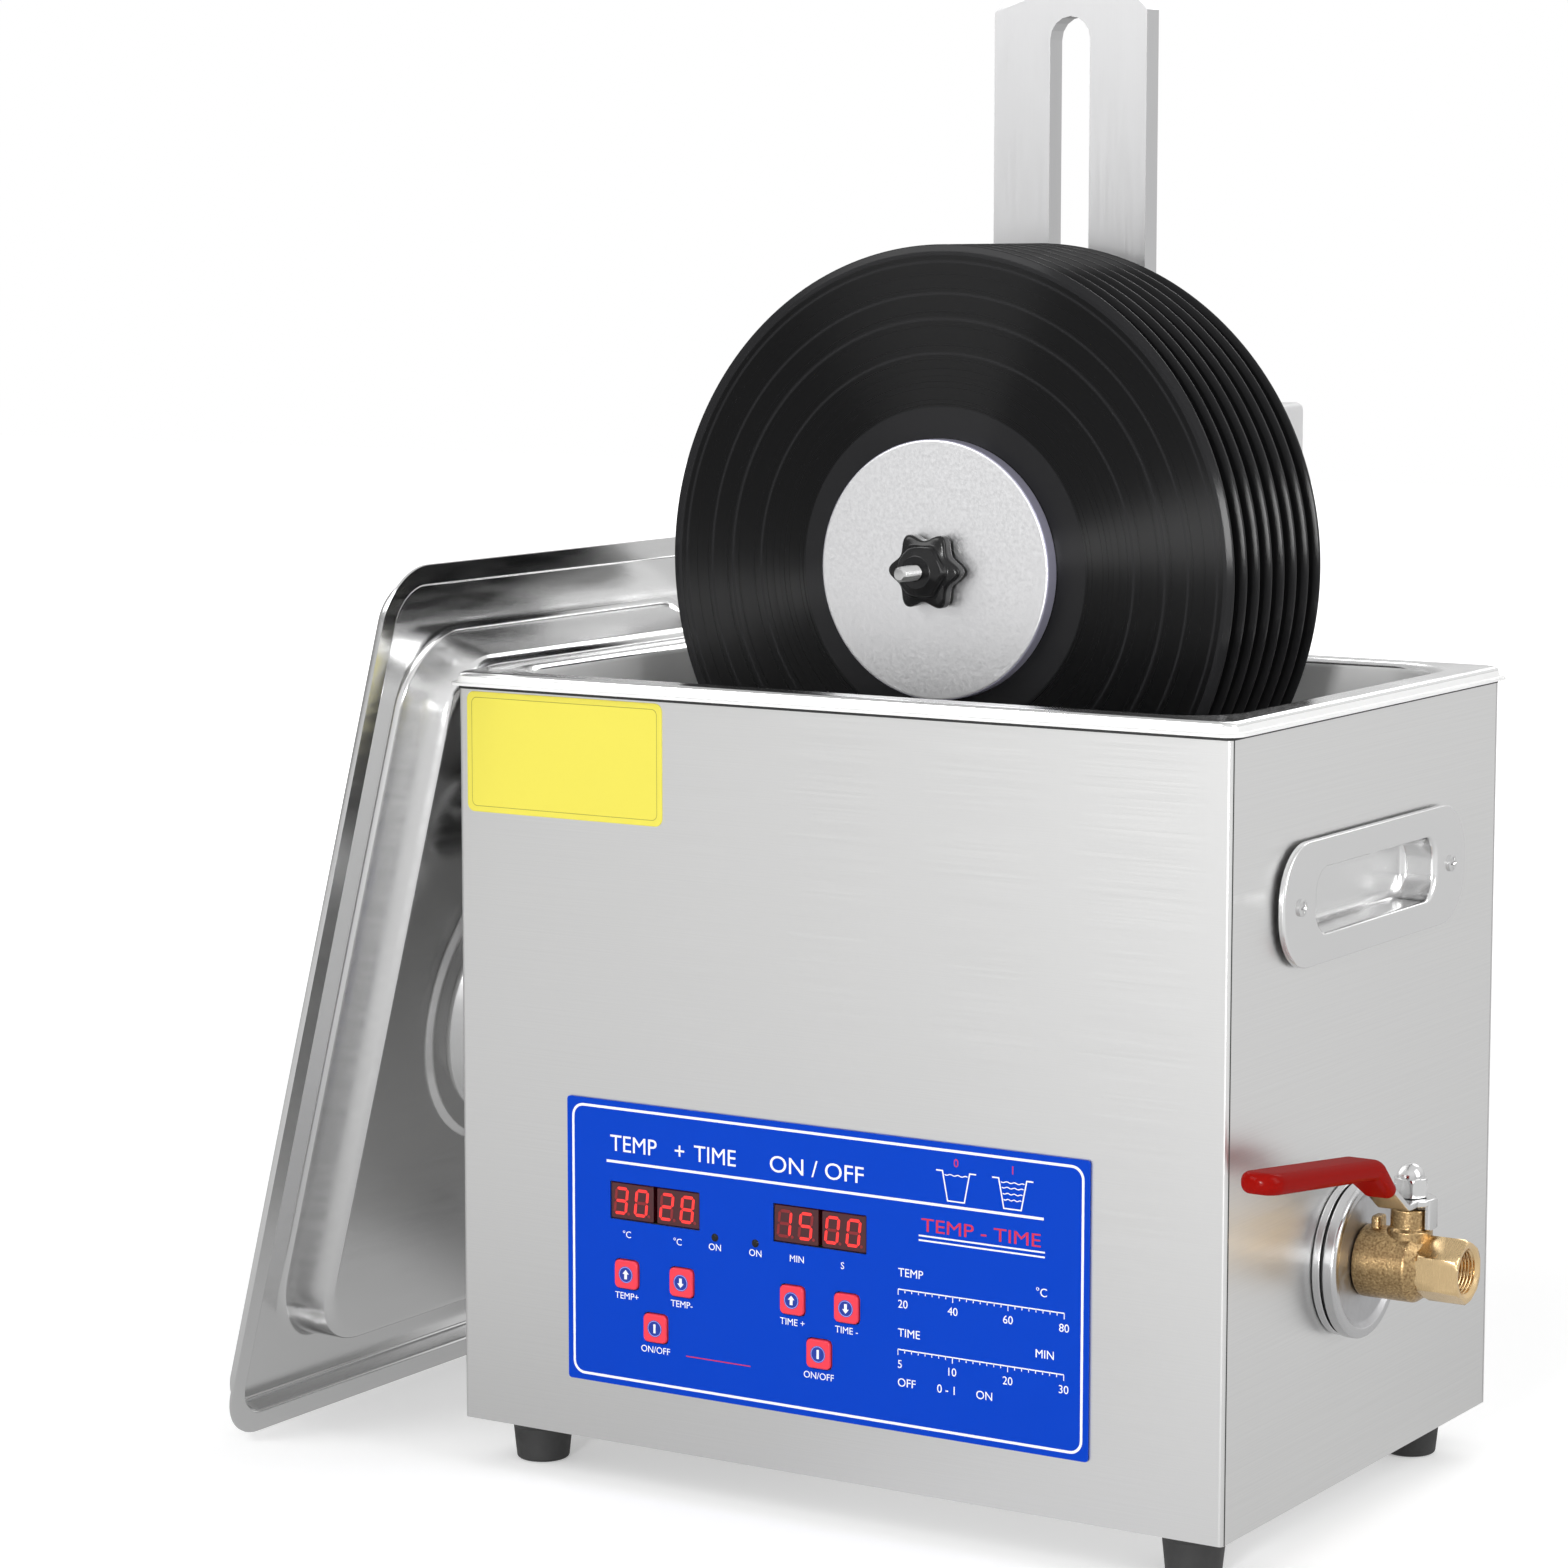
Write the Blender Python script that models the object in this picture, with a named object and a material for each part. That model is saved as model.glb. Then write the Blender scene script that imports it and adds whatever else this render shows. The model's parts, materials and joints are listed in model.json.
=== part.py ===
"""Bench-top ultrasonic record cleaning machine.

A stainless sheet housing holds a pressed tank. A bracket plate hooks over the tank's back rim and
carries a motor carriage, whose spindle turns a stack of records half sunk in the tank. A ball valve
on the right drains the tank, and the lid leans on the left side with its underside to the machine.

The model is laid out in a bench frame: x runs right along the front, y runs back, z runs up, with
zero at the housing's front left corner on the floor. The last step moves everything so that the
middle of the whole object's box stands on the origin. All lengths are metres.
"""

import math

import bmesh
import bpy
from mathutils import Vector

for leftover in list(bpy.data.objects):
    bpy.data.objects.remove(leftover)

# Fits and mesh fineness
fit_gap = 0.0003
cut_overrun = 0.002
corner_steps = 4
small_corner_steps = 2
bend_steps = 3
fine_segments = 40
round_segments = 24
middle_segments = 18
small_segments = 12
sharp_angle = math.radians(32.0)

# Housing
body_width = 0.332
body_depth = 0.233
body_height = 0.290
sheet = 0.001
body_corner_radius = 0.0015
rear_lip_width = 0.012
base_lip_height = 0.012

# Feet
foot_height = 0.018
foot_top_radius = 0.0125
foot_bottom_radius = 0.0103
foot_inset = 0.022
foot_screw_radius = 0.004
foot_screw_depth = 0.006

# Tank and rim
rim_rise = 0.0055
rim_lip_reach = 0.004
rim_flare = 0.0014
rim_width = 0.0125
rim_corner_radius = 0.003
rim_edge_radius = 0.0035
tank_corner_radius = 0.028
tank_depth = 0.1485
tank_taper = 0.001
tank_floor_radius = 0.015
drain_hole_radius = 0.006
drain_hole_from_wall = 0.0335

# Handles in the two sides
handle_length = 0.160
handle_height = 0.046
handle_corner_radius = 0.021
handle_stand_off = 0.004
handle_edge_return = 0.0022
handle_opening_length = 0.104
handle_opening_height = 0.024
handle_opening_radius = 0.009
handle_cup_depth = 0.0145
handle_height_share = 0.773
handle_depth_share = 0.4957

# Control panel
overlay_width = 0.2279
overlay_height = 0.1111
overlay_thickness = 0.0006
overlay_corner_radius = 0.0012
overlay_across_share = 0.4953
overlay_up_share = 0.2716
button_width = 0.0106
button_height = 0.0111
button_corner_radius = 0.002
button_proud = 0.0011
button_edge = 0.0004
button_cap_depth = 0.0035
button_plunger_radius = 0.002
button_travel = 0.0006
control_clearance = 0.0004
button_place_shares = {
    "button_temperature_up": (0.1207, 0.397),
    "button_temperature_down": (0.2312, 0.397),
    "button_heat": (0.1786, 0.2223),
    "button_time_up": (0.4489, 0.394),
    "button_time_down": (0.5533, 0.394),
    "button_timer": (0.5002, 0.2223),
}
display_place_shares = {
    "display_temperature": (0.1766, 0.6526),
    "display_timer": (0.5004, 0.6526),
}
display_width = 0.0401
display_height = 0.0140
display_module_gap = 0.0017
display_base_depth = 0.003
board_distance = 0.008
board_thickness = 0.0016
board_margin = 0.008
board_post_radius = 0.003
board_post_inset = 0.006
switch_radius = 0.0028
switch_height = 0.0015

# Drain valve, measured from the side face along x and from its own axis
valve_height_share = 0.2972
valve_depth_share = 0.425
valve_reach = 0.050
valve_stem_reach = 0.0264
valve_neck_radius = 0.010
valve_neck_inside = 0.013
washer_radius = 0.0290
washer_thickness = 0.0042
flange_radius = 0.0295
flange_thickness = 0.0052
flange_dish = 0.0016
flange_flat_width = 0.003
barrel_radius = 0.0135
barrel_shoulder = 0.0035
hex_across_corners = 0.0245
hex_length = 0.017
hex_chamfer = 0.0012
outlet_bore_radius = 0.00835
outlet_bore_depth = 0.0135
valve_bore_radius = 0.005
bonnet_radius = 0.0072
bonnet_height = 0.022
bonnet_chamfer = 0.001
stop_lug_width = 0.007
stop_lug_height = 0.0175
stop_lug_distance = 0.0125
ball_radius = 0.0085
stem_radius = 0.0036
stem_tip_radius = 0.0029
stem_height = 0.0345
running_gap = 0.0004

# Valve lever, measured from the stem's axis and the valve's axis
lever_hub_radius = 0.0095
lever_hub_height = 0.0235
lever_thickness = 0.0024
lever_width = 0.0125
lever_crank_start = 0.0150
lever_crank_end = 0.0430
lever_crank_rise = 0.0195
lever_reach = 0.131
lever_incline = math.radians(6.8)
lever_tab_width = 0.0075
lever_tab_drop = 0.0090
grip_width = 0.0162
grip_thickness = 0.0078
grip_corner_radius = 0.0035
grip_end_wall = 0.003
grip_crank_shares = ((0.45, 0.86), (0.62, 0.98), (0.80, 1.0))
grip_straight_shares = (0.12, 0.5, 0.92)
grip_tip_shares = ((0.0, 0.97), (0.6, 0.82), (1.0, 0.50))
nut_across_corners = 0.0135
nut_height = 0.007
nut_dome_height = 0.0055
nut_dome_steps = 5

# Drain pipe
pipe_radius = 0.008
pipe_bore_radius = 0.006
pipe_bend_radius = 0.018
pipe_flange_radius = 0.014
pipe_flange_thickness = 0.003
pipe_bend_steps = 4

# Works under the tank
transducer_count = 3
transducer_first_share = 0.24
transducer_pitch_share = 0.2108
transducer_horn_radius = 0.0225
transducer_waist_radius = 0.016
transducer_tail_radius = 0.019
transducer_horn_height = 0.022
transducer_stack_height = 0.012
transducer_tail_height = 0.012
generator_width = 0.150
generator_depth = 0.092
generator_post_height = 0.007
generator_across_share = 0.42
heat_sink_width = 0.086
heat_sink_depth = 0.018
heat_sink_height = 0.026
transformer_size = 0.034
transformer_height = 0.027

# Mains inlet with its rocker switch, on the rear panel
inlet_across_share = 0.27
inlet_up_share = 0.17
inlet_flange_width = 0.062
inlet_flange_height = 0.030
inlet_flange_thickness = 0.0025
inlet_flange_radius = 0.003
inlet_body_width = 0.052
inlet_body_height = 0.0255
inlet_body_depth = 0.020
socket_width = 0.0240
socket_height = 0.0165
socket_depth = 0.0155
socket_shift = 0.0115
pin_width = 0.002
pin_height = 0.004
pin_length = 0.010
pin_spread = 0.007
rocker_shift = 0.0155
rocker_width = 0.0130
rocker_half_height = 0.0094
rocker_face_rise = 0.0028
rocker_face_dip = 0.0014
rocker_back = 0.0055
rocker_back_half = 0.0080
rocker_well_height = 0.0204
rocker_tilt = math.radians(8.0)
vent_rows = 2
vent_columns = 8
vent_length = 0.022
vent_height = 0.003
vent_row_pitch = 0.011
vent_column_pitch = 0.031
vent_up_share = 0.52
base_vent_count = 5
base_vent_length = 0.060
base_vent_width = 0.004
base_vent_pitch = 0.014
base_vent_across_share = 0.74

# Bracket plate and the saddle that hooks over the back rim
bracket_width = 0.069
bracket_thickness = 0.010
bracket_length = 0.302
bracket_below_rim = 0.0285
bracket_wall_gap = 0.0075
bracket_chamfer = 0.018
slot_width = 0.018
slot_end_below_top = 0.020
saddle_thickness = 0.003
saddle_width = 0.060
saddle_outer_drop = 0.022

# Spindle and records
spindle_above_body = 0.0446
spindle_off_centre = 0.010
record_count = 8
record_radius = 0.125
record_thickness = 0.0024
record_hole_radius = 0.0036
record_edge_bevel = 0.0025
record_edge_round = 0.0007
spacer_thickness = 0.0076
spacer_radius = 0.050
label_plate_radius = 0.0505
front_plate_thickness = 0.007
rear_plate_thickness = 0.008
plate_bevel = 0.0006
rod_radius = 0.003
rod_chamfer = 0.0008
rod_proud = 0.026
collar_radius = 0.009
collar_length = 0.0115
collar_to_bracket = 0.003
shaft_radius = 0.005
shaft_tip_radius = 0.003
shaft_into_motor = 0.010

# Star knob
knob_length = 0.0135
knob_lobe_count = 6
knob_lobe_radius = 0.0136
knob_lobe_swing = 0.0016
knob_waist_radius = 0.0095
knob_hub_radius = 0.0102
knob_nose_radius = 0.0062
knob_points_per_lobe = 5

# Motor carriage
motor_case_width = 0.128
motor_case_length = 0.0767
motor_case_height = 0.074
motor_case_below_shaft = 0.015
motor_case_wall = 0.002
motor_case_edge = 0.0015
guide_key_above_shaft = 0.020
motor_radius = 0.0175
gearbox_radius = 0.0185
gearbox_length = 0.024
motor_length = 0.030
shaft_off_motor = 0.007
cord_hole_radius = 0.004
clamp_above_shaft = 0.046
clamp_knob_radius = 0.013
clamp_knob_thickness = 0.0105
clamp_knob_from_plate = 0.0006
clamp_knob_flutes = 12
clamp_knob_flute_depth = 0.0009
clamp_stud_radius = 0.003
clamp_stud_into_case = 0.009

# Lid, leaning on the left side
lid_clearance = 0.003
lid_lip = 0.009
lid_skirt_depth = 0.009
lid_plateau_clearance = 0.0025
lid_plateau_height = 0.022
lid_wall_slope = 0.005
lid_corner_radius = 0.022
lid_bend_radius = 0.0015
lid_plateau_corner = 0.030
lid_ring_radius = 0.070
lid_ring_width = 0.0095
lid_ring_step = 0.0025
lid_boss_height = 0.0135
lid_boss_slope = 0.007
lid_corner_steps = 5
lid_lean = math.radians(14.3)
lid_forward = 0.0155
lid_strap_width = 0.026
lid_strap_thickness = 0.002
lid_strap_rise = 0.007
lid_strap_foot = 0.006
lid_strap_ramp = 0.006

# Levels and places worked out from the sizes above
body_bottom = foot_height
body_top = body_bottom + body_height
rim_top = body_top + rim_rise
tank_floor = rim_top - tank_depth
body_middle_x = body_width / 2
body_middle_y = body_depth / 2
lip_outer_y = body_depth - sheet - fit_gap
overlay_left = overlay_across_share * body_width - overlay_width / 2
overlay_bottom = body_bottom + overlay_up_share * body_height - overlay_height / 2
overlay_back = -fit_gap
overlay_front = overlay_back - overlay_thickness
valve_y = valve_depth_share * body_depth
valve_z = body_bottom + valve_height_share * body_height
valve_stem_x = body_width + valve_stem_reach
handle_y = handle_depth_share * body_depth
handle_z = body_bottom + handle_height_share * body_height
drain_x = body_width - rim_width - drain_hole_from_wall
inlet_x = inlet_across_share * body_width
inlet_z = body_bottom + inlet_up_share * body_height
tank_wall_y = body_depth - rim_width
bracket_back = tank_wall_y - bracket_wall_gap
bracket_front = bracket_back - bracket_thickness
bracket_bottom = rim_top - bracket_below_rim
bracket_top = bracket_bottom + bracket_length
spindle_x = body_middle_x - spindle_off_centre
spindle_z = body_top + spindle_above_body
slot_top = bracket_top - slot_end_below_top - slot_width / 2
collar_back = bracket_front - collar_to_bracket
collar_front = collar_back - collar_length
rear_plate_front = collar_front - fit_gap - rear_plate_thickness
record_pitch = record_thickness + spacer_thickness + 2 * fit_gap
last_record_back = rear_plate_front - fit_gap
first_record_front = last_record_back - record_thickness - (record_count - 1) * record_pitch
front_plate_front = first_record_front - fit_gap - front_plate_thickness
knob_back = front_plate_front - fit_gap
rod_tip = front_plate_front - rod_proud
motor_case_front = bracket_back + fit_gap
motor_case_bottom = spindle_z - motor_case_below_shaft
gearbox_front = motor_case_front + motor_case_wall + fit_gap
shaft_end = gearbox_front + shaft_into_motor
clamp_z = spindle_z + clamp_above_shaft


def material(name, colour, roughness, metallic):
    """A finish of one colour, with its roughness and how metallic it is."""
    finish = bpy.data.materials.new(name)
    finish.use_nodes = True
    shader = finish.node_tree.nodes["Principled BSDF"]
    shader.inputs["Base Color"].default_value = (*colour, 1.0)
    shader.inputs["Roughness"].default_value = roughness
    shader.inputs["Metallic"].default_value = metallic
    return finish


brushed_steel = material("brushed_steel", (0.62, 0.62, 0.61), 0.38, 1.0)
polished_steel = material("polished_steel", (0.66, 0.66, 0.66), 0.16, 1.0)
tank_steel = material("tank_steel", (0.58, 0.58, 0.58), 0.30, 1.0)
blue_overlay = material("blue_overlay", (0.0, 0.07, 0.62), 0.40, 0.0)
red_button = material("red_button", (0.85, 0.04, 0.06), 0.40, 0.0)
dark_display = material("dark_display", (0.05, 0.005, 0.008), 0.15, 0.0)
brass = material("brass", (0.60, 0.38, 0.14), 0.35, 1.0)
zinc = material("zinc", (0.75, 0.76, 0.77), 0.25, 1.0)
red_vinyl = material("red_vinyl", (0.45, 0.02, 0.01), 0.25, 0.0)
black_rubber = material("black_rubber", (0.03, 0.03, 0.03), 0.70, 0.0)
black_record = material("black_record", (0.008, 0.008, 0.008), 0.18, 0.0)
satin_silver = material("satin_silver", (0.72, 0.72, 0.73), 0.40, 1.0)
black_plastic = material("black_plastic", (0.015, 0.015, 0.015), 0.22, 0.0)
satin_aluminium = material("satin_aluminium", (0.70, 0.70, 0.71), 0.42, 1.0)
grey_paint = material("grey_paint", (0.72, 0.72, 0.72), 0.45, 0.0)
green_board = material("green_board", (0.02, 0.20, 0.06), 0.50, 0.0)
grey_aluminium = material("grey_aluminium", (0.55, 0.55, 0.56), 0.45, 1.0)
white_plastic = material("white_plastic", (0.75, 0.75, 0.73), 0.45, 0.0)


def circle(radius, segments, centre=(0.0, 0.0), first_share=0.0):
    """Points evenly round a circle; the first lies this share of a step past the right."""
    angles = [2 * math.pi * (step + first_share) / segments for step in range(segments)]
    return [(centre[0] + radius * math.cos(a), centre[1] + radius * math.sin(a)) for a in angles]


def corner_circle(radius, steps):
    """A circle with as many points as a rounded rectangle of these corner steps, for joining to one."""
    count = 4 * (steps + 1)
    angles = [2 * math.pi * (step + 0.5) / count for step in range(count)]
    return [(radius * math.cos(a), radius * math.sin(a)) for a in angles]


def rounded_rectangle(half_across, half_along, radius, steps=corner_steps, centre=(0.0, 0.0)):
    """A rectangle's outline with an arc at each corner, anticlockwise from the right."""
    radius = min(radius, half_across, half_along)
    points = []
    for quarter, (side, end) in enumerate(((1, 1), (-1, 1), (-1, -1), (1, -1))):
        middle_across = centre[0] + side * (half_across - radius)
        middle_along = centre[1] + end * (half_along - radius)
        for step in range(steps + 1):
            angle = math.pi / 2 * (quarter + step / steps)
            points.append((middle_across + radius * math.cos(angle),
                           middle_along + radius * math.sin(angle)))
    return points


def capsule(half_width, low, high, steps=8):
    """An upright slot's outline: a half circle below the point low and one above the point high."""
    points = []
    for start, middle in ((math.pi, low), (0.0, high)):
        for step in range(steps + 1):
            angle = start + math.pi * step / steps
            points.append((half_width * math.cos(angle), middle + half_width * math.sin(angle)))
    return points


def set_square(points, level, axis):
    """Flat points set square to the named axis, at this level along it."""
    if axis == "X":
        return [(level, across, along) for across, along in points]
    if axis == "Y":
        return [(across, level, along) for across, along in points]
    return [(across, along, level) for across, along in points]


def loft(rings, capped=True):
    """A closed skin through rings of equal count.

    It has a flat cap at each end or, if not capped, its last ring joins its first.
    """
    work = bmesh.new()
    rows = [[work.verts.new(point) for point in ring] for ring in rings]
    pairs = list(zip(rows, rows[1:]))
    if capped:
        work.faces.new(rows[0])
        work.faces.new(rows[-1])
    else:
        pairs.append((rows[-1], rows[0]))
    for near, far in pairs:
        for index in range(len(near)):
            after = (index + 1) % len(near)
            work.faces.new((near[index], near[after], far[after], far[index]))
    bmesh.ops.recalc_face_normals(work, faces=work.faces)
    mesh = bpy.data.meshes.new("shape")
    work.to_mesh(mesh)
    work.free()
    return mesh


def prism(outline, low, high, axis="Z"):
    """An outline carried straight from one level to another."""
    return loft([set_square(outline, low, axis), set_square(outline, high, axis)])


def box(low, high):
    """A block between two opposite corners."""
    outline = [(low[0], low[1]), (high[0], low[1]), (high[0], high[1]), (low[0], high[1])]
    return prism(outline, low[2], high[2])


def turned(profile, axis="Z", segments=round_segments, bored=False):
    """A profile of (radius, level) turned about an axis; a bored one closes on itself."""
    rings = [set_square(circle(radius, segments, first_share=0.5), level, axis) for radius, level in profile]
    return loft(rings, capped=not bored)


def ball(radius, segments=16, rows=8):
    """A sphere built as turned rings between two small flats at its poles."""
    angles = [math.pi * (row + 0.5) / rows for row in range(rows)]
    return turned([(radius * math.sin(a), -radius * math.cos(a)) for a in angles], "Z", segments)


def offset_line(line, distance):
    """An open line of flat points moved sideways to its left by a distance, mitred at its bends."""
    moved = []
    for index, point in enumerate(line):
        here = Vector(point)
        sides = []
        if index > 0:
            run = (here - Vector(line[index - 1])).normalized()
            sides.append(Vector((-run.y, run.x)))
        if index < len(line) - 1:
            run = (Vector(line[index + 1]) - here).normalized()
            sides.append(Vector((-run.y, run.x)))
        mitre = sum(sides, Vector((0.0, 0.0))).normalized()
        moved.append(here + mitre * (distance / mitre.dot(sides[0])))
    return moved


def pressed_sheet(rows, thickness, axis="Z", steps=corner_steps):
    """A sheet pressed into a dish.

    Each row is (half length across, half length along, corner radius, level), from the dish's edge
    to its floor. A row whose radius is both its half lengths is a circle. The sheet's second side
    lies to the left of the line that the rows draw, at the sheet's thickness.
    """
    section = [(row[0], row[3]) for row in rows]
    second = offset_line(section + [(0.0, section[-1][1])], thickness)

    def ring(row, grow=0.0, level=None):
        half_across, half_along, radius, own_level = row
        place = own_level if level is None else level
        if radius == half_across == half_along:
            return set_square(corner_circle(radius + grow, steps), place, axis)
        grown_radius = max(radius + grow, thickness / 4)
        outline = rounded_rectangle(half_across + grow, half_along + grow, grown_radius, steps)
        return set_square(outline, place, axis)

    first_side = [ring(row) for row in rows]
    second_side = [ring(row, moved.x - row[0], moved.y) for row, moved in zip(rows, second)]
    return loft(first_side[::-1] + second_side)


def add(name, mesh, finish, parent, place=(0.0, 0.0, 0.0), turn=(0.0, 0.0, 0.0)):
    """One named piece of the machine, placed in the bench frame under its parent empty."""
    mesh.name = name
    mesh.materials.append(finish)
    mesh.shade_smooth()
    mesh.set_sharp_from_angle(angle=sharp_angle)
    piece = bpy.data.objects.new(name, mesh)
    bpy.context.scene.collection.objects.link(piece)
    piece.parent = parent
    piece.location = Vector(place) - Vector(parent["bench_place"])
    piece.rotation_euler = turn
    return piece


def group(name, parent, place, turn=(0.0, 0.0, 0.0)):
    """An empty that carries one moving group; it stands on that group's joint axis."""
    empty = bpy.data.objects.new(name, None)
    bpy.context.scene.collection.objects.link(empty)
    empty.parent = parent
    start = Vector(parent["bench_place"]) if parent else Vector((0.0, 0.0, 0.0))
    empty.location = Vector(place) - start
    empty.rotation_euler = turn
    empty["bench_place"] = place
    return empty


def shape_by(piece, mesh, operation, place=(0.0, 0.0, 0.0)):
    """Cuts a piece by a tool shape, or joins the shape to it; the place is the piece's own frame."""
    tool = bpy.data.objects.new(piece.name + "_tool", mesh)
    bpy.context.scene.collection.objects.link(tool)
    tool.parent = piece
    tool.location = place
    tool.hide_render = True
    tool.display_type = "WIRE"
    step = piece.modifiers.new(operation.lower(), "BOOLEAN")
    step.operation = operation
    step.solver = "EXACT"
    step.object = tool


def cut(piece, mesh, place=(0.0, 0.0, 0.0)):
    """Takes a tool shape away from a piece."""
    shape_by(piece, mesh, "DIFFERENCE", place)


def join(piece, mesh, place=(0.0, 0.0, 0.0)):
    """Makes a shape part of a piece's own body."""
    shape_by(piece, mesh, "UNION", place)


machine = group("machine", None, (0.0, 0.0, 0.0))


def panel_point(shares):
    """A place on the control panel, from its shares of the overlay's width and height."""
    return overlay_left + shares[0] * overlay_width, overlay_bottom + shares[1] * overlay_height


def build_housing():
    """The wrapped front and sides, the rear panel, the base pan and the four feet."""
    bend = []
    for corner, start in ((0, math.pi), (1, math.pi * 1.5)):
        middle = body_corner_radius if corner == 0 else body_width - body_corner_radius
        for step in range(bend_steps + 1):
            angle = start + math.pi / 2 * step / bend_steps
            bend.append((middle + body_corner_radius * math.cos(angle),
                         body_corner_radius + body_corner_radius * math.sin(angle)))
    outer = [(rear_lip_width, lip_outer_y), (0.0, lip_outer_y)] + bend
    outer += [(body_width, lip_outer_y), (body_width - rear_lip_width, lip_outer_y)]
    inner = [tuple(point) for point in offset_line(outer, sheet)]
    shell = add("housing_shell", prism(outer + inner[::-1], body_bottom, body_top), brushed_steel, machine)

    for shares in button_place_shares.values():
        across, up = panel_point(shares)
        outline = rounded_rectangle(button_width / 2 + control_clearance,
                                    button_height / 2 + control_clearance,
                                    button_corner_radius, small_corner_steps, (across, up))
        cut(shell, prism(outline, -cut_overrun, sheet + cut_overrun, "Y"))
    for shares in display_place_shares.values():
        across, up = panel_point(shares)
        outline = rounded_rectangle(display_width / 2 + control_clearance,
                                    display_height / 2 + control_clearance,
                                    control_clearance, small_corner_steps, (across, up))
        cut(shell, prism(outline, -cut_overrun, sheet + cut_overrun, "Y"))

    hand_hole = rounded_rectangle(handle_opening_length / 2 + sheet + fit_gap,
                                  handle_opening_height / 2 + sheet + fit_gap,
                                  handle_opening_radius + sheet + fit_gap, corner_steps,
                                  (handle_y, handle_z))
    for side in (0.0, body_width):
        cut(shell, prism(hand_hole, side - sheet - cut_overrun, side + sheet + cut_overrun, "X"))
    valve_hole = circle(valve_neck_radius + fit_gap, round_segments, (valve_y, valve_z))
    cut(shell, prism(valve_hole, body_width - sheet - cut_overrun, body_width + cut_overrun, "X"))

    rear = add("rear_panel", box((0.0, body_depth - sheet, body_bottom), (body_width, body_depth, body_top)),
               brushed_steel, machine)
    vents_z = body_bottom + vent_up_share * body_height
    for row in range(vent_rows):
        for column in range(vent_columns):
            middle = (body_middle_x + (column - (vent_columns - 1) / 2) * vent_column_pitch,
                      vents_z + (row - (vent_rows - 1) / 2) * vent_row_pitch)
            slot = rounded_rectangle(vent_length / 2, vent_height / 2, vent_height / 2,
                                     small_corner_steps, middle)
            cut(rear, prism(slot, body_depth - sheet - cut_overrun, body_depth + cut_overrun, "Y"))
    inlet_hole = rounded_rectangle(inlet_body_width / 2 + fit_gap, inlet_body_height / 2 + fit_gap,
                                   fit_gap, 1, (inlet_x, inlet_z))
    cut(rear, prism(inlet_hole, body_depth - sheet - cut_overrun, body_depth + cut_overrun, "Y"))

    pan_front = sheet + fit_gap
    pan_back = lip_outer_y - sheet - fit_gap
    pan_half_across = body_width / 2 - pan_front
    pan_half_along = (pan_back - pan_front) / 2
    pan_place = (body_middle_x, (pan_front + pan_back) / 2, body_bottom)
    pan_rows = [(pan_half_across, pan_half_along, body_corner_radius, base_lip_height),
                (pan_half_across, pan_half_along, body_corner_radius, 0.0)]
    pan = pressed_sheet(pan_rows, -sheet, "Z", small_corner_steps)
    base = add("base_plate", pan, brushed_steel, machine, pan_place)
    for index in range(base_vent_count):
        across = (base_vent_across_share - 0.5) * body_width
        across += (index - (base_vent_count - 1) / 2) * base_vent_pitch
        slot = rounded_rectangle(base_vent_width / 2, base_vent_length / 2, base_vent_width / 2,
                                 small_corner_steps, (across, 0.0))
        cut(base, prism(slot, -cut_overrun, sheet + cut_overrun))

    foot_profile = [(foot_screw_radius, foot_screw_depth), (foot_screw_radius, 0.0),
                    (foot_bottom_radius - fit_gap, 0.0), (foot_bottom_radius, fit_gap),
                    (foot_top_radius, body_bottom - fit_gap)]
    near, far = foot_inset, body_depth - foot_inset
    left, right = foot_inset, body_width - foot_inset
    places = {"foot_front_left": (left, near), "foot_front_right": (right, near),
              "foot_rear_left": (left, far), "foot_rear_right": (right, far)}
    for name, (across, along) in places.items():
        add(name, turned(foot_profile, "Z", middle_segments), black_rubber, machine, (across, along, 0.0))


def build_tank():
    """The pressed tank with its turned-over rim and the drain hole in its floor."""
    half_across = body_width / 2
    half_along = body_depth / 2
    lip_level = body_top + fit_gap + sheet
    steps = [
        (-rim_lip_reach, lip_level, rim_corner_radius + rim_lip_reach),
        (-rim_flare - sheet, lip_level, rim_corner_radius + rim_flare + sheet),
        (-rim_flare, lip_level + sheet / 2, rim_corner_radius + rim_flare),
        (-rim_flare / 3, rim_top - sheet, rim_corner_radius),
        (sheet / 3, rim_top - sheet / 4, rim_corner_radius),
        (sheet, rim_top, rim_corner_radius),
    ]
    angles = [math.pi / 2 * step / bend_steps for step in range(bend_steps + 1)]
    for angle in angles:
        back = rim_edge_radius * (1 - math.sin(angle))
        fall = rim_edge_radius * (1 - math.cos(angle))
        steps.append((rim_width - back, rim_top - fall, tank_corner_radius + back))
    for angle in angles:
        inward = tank_taper + tank_floor_radius * (1 - math.cos(angle))
        rise = tank_floor_radius * (1 - math.sin(angle))
        steps.append((rim_width + inward, tank_floor + rise, tank_corner_radius - inward))
    rows = [(half_across - inset, half_along - inset, radius, level) for inset, level, radius in steps]
    tank = add("tank", pressed_sheet(rows, sheet), tank_steel, machine,
               (body_middle_x, body_middle_y, 0.0))
    hole = circle(drain_hole_radius, small_segments, (drain_x - body_middle_x, valve_y - body_middle_y))
    cut(tank, prism(hole, tank_floor - sheet - cut_overrun, tank_floor + cut_overrun))


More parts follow.
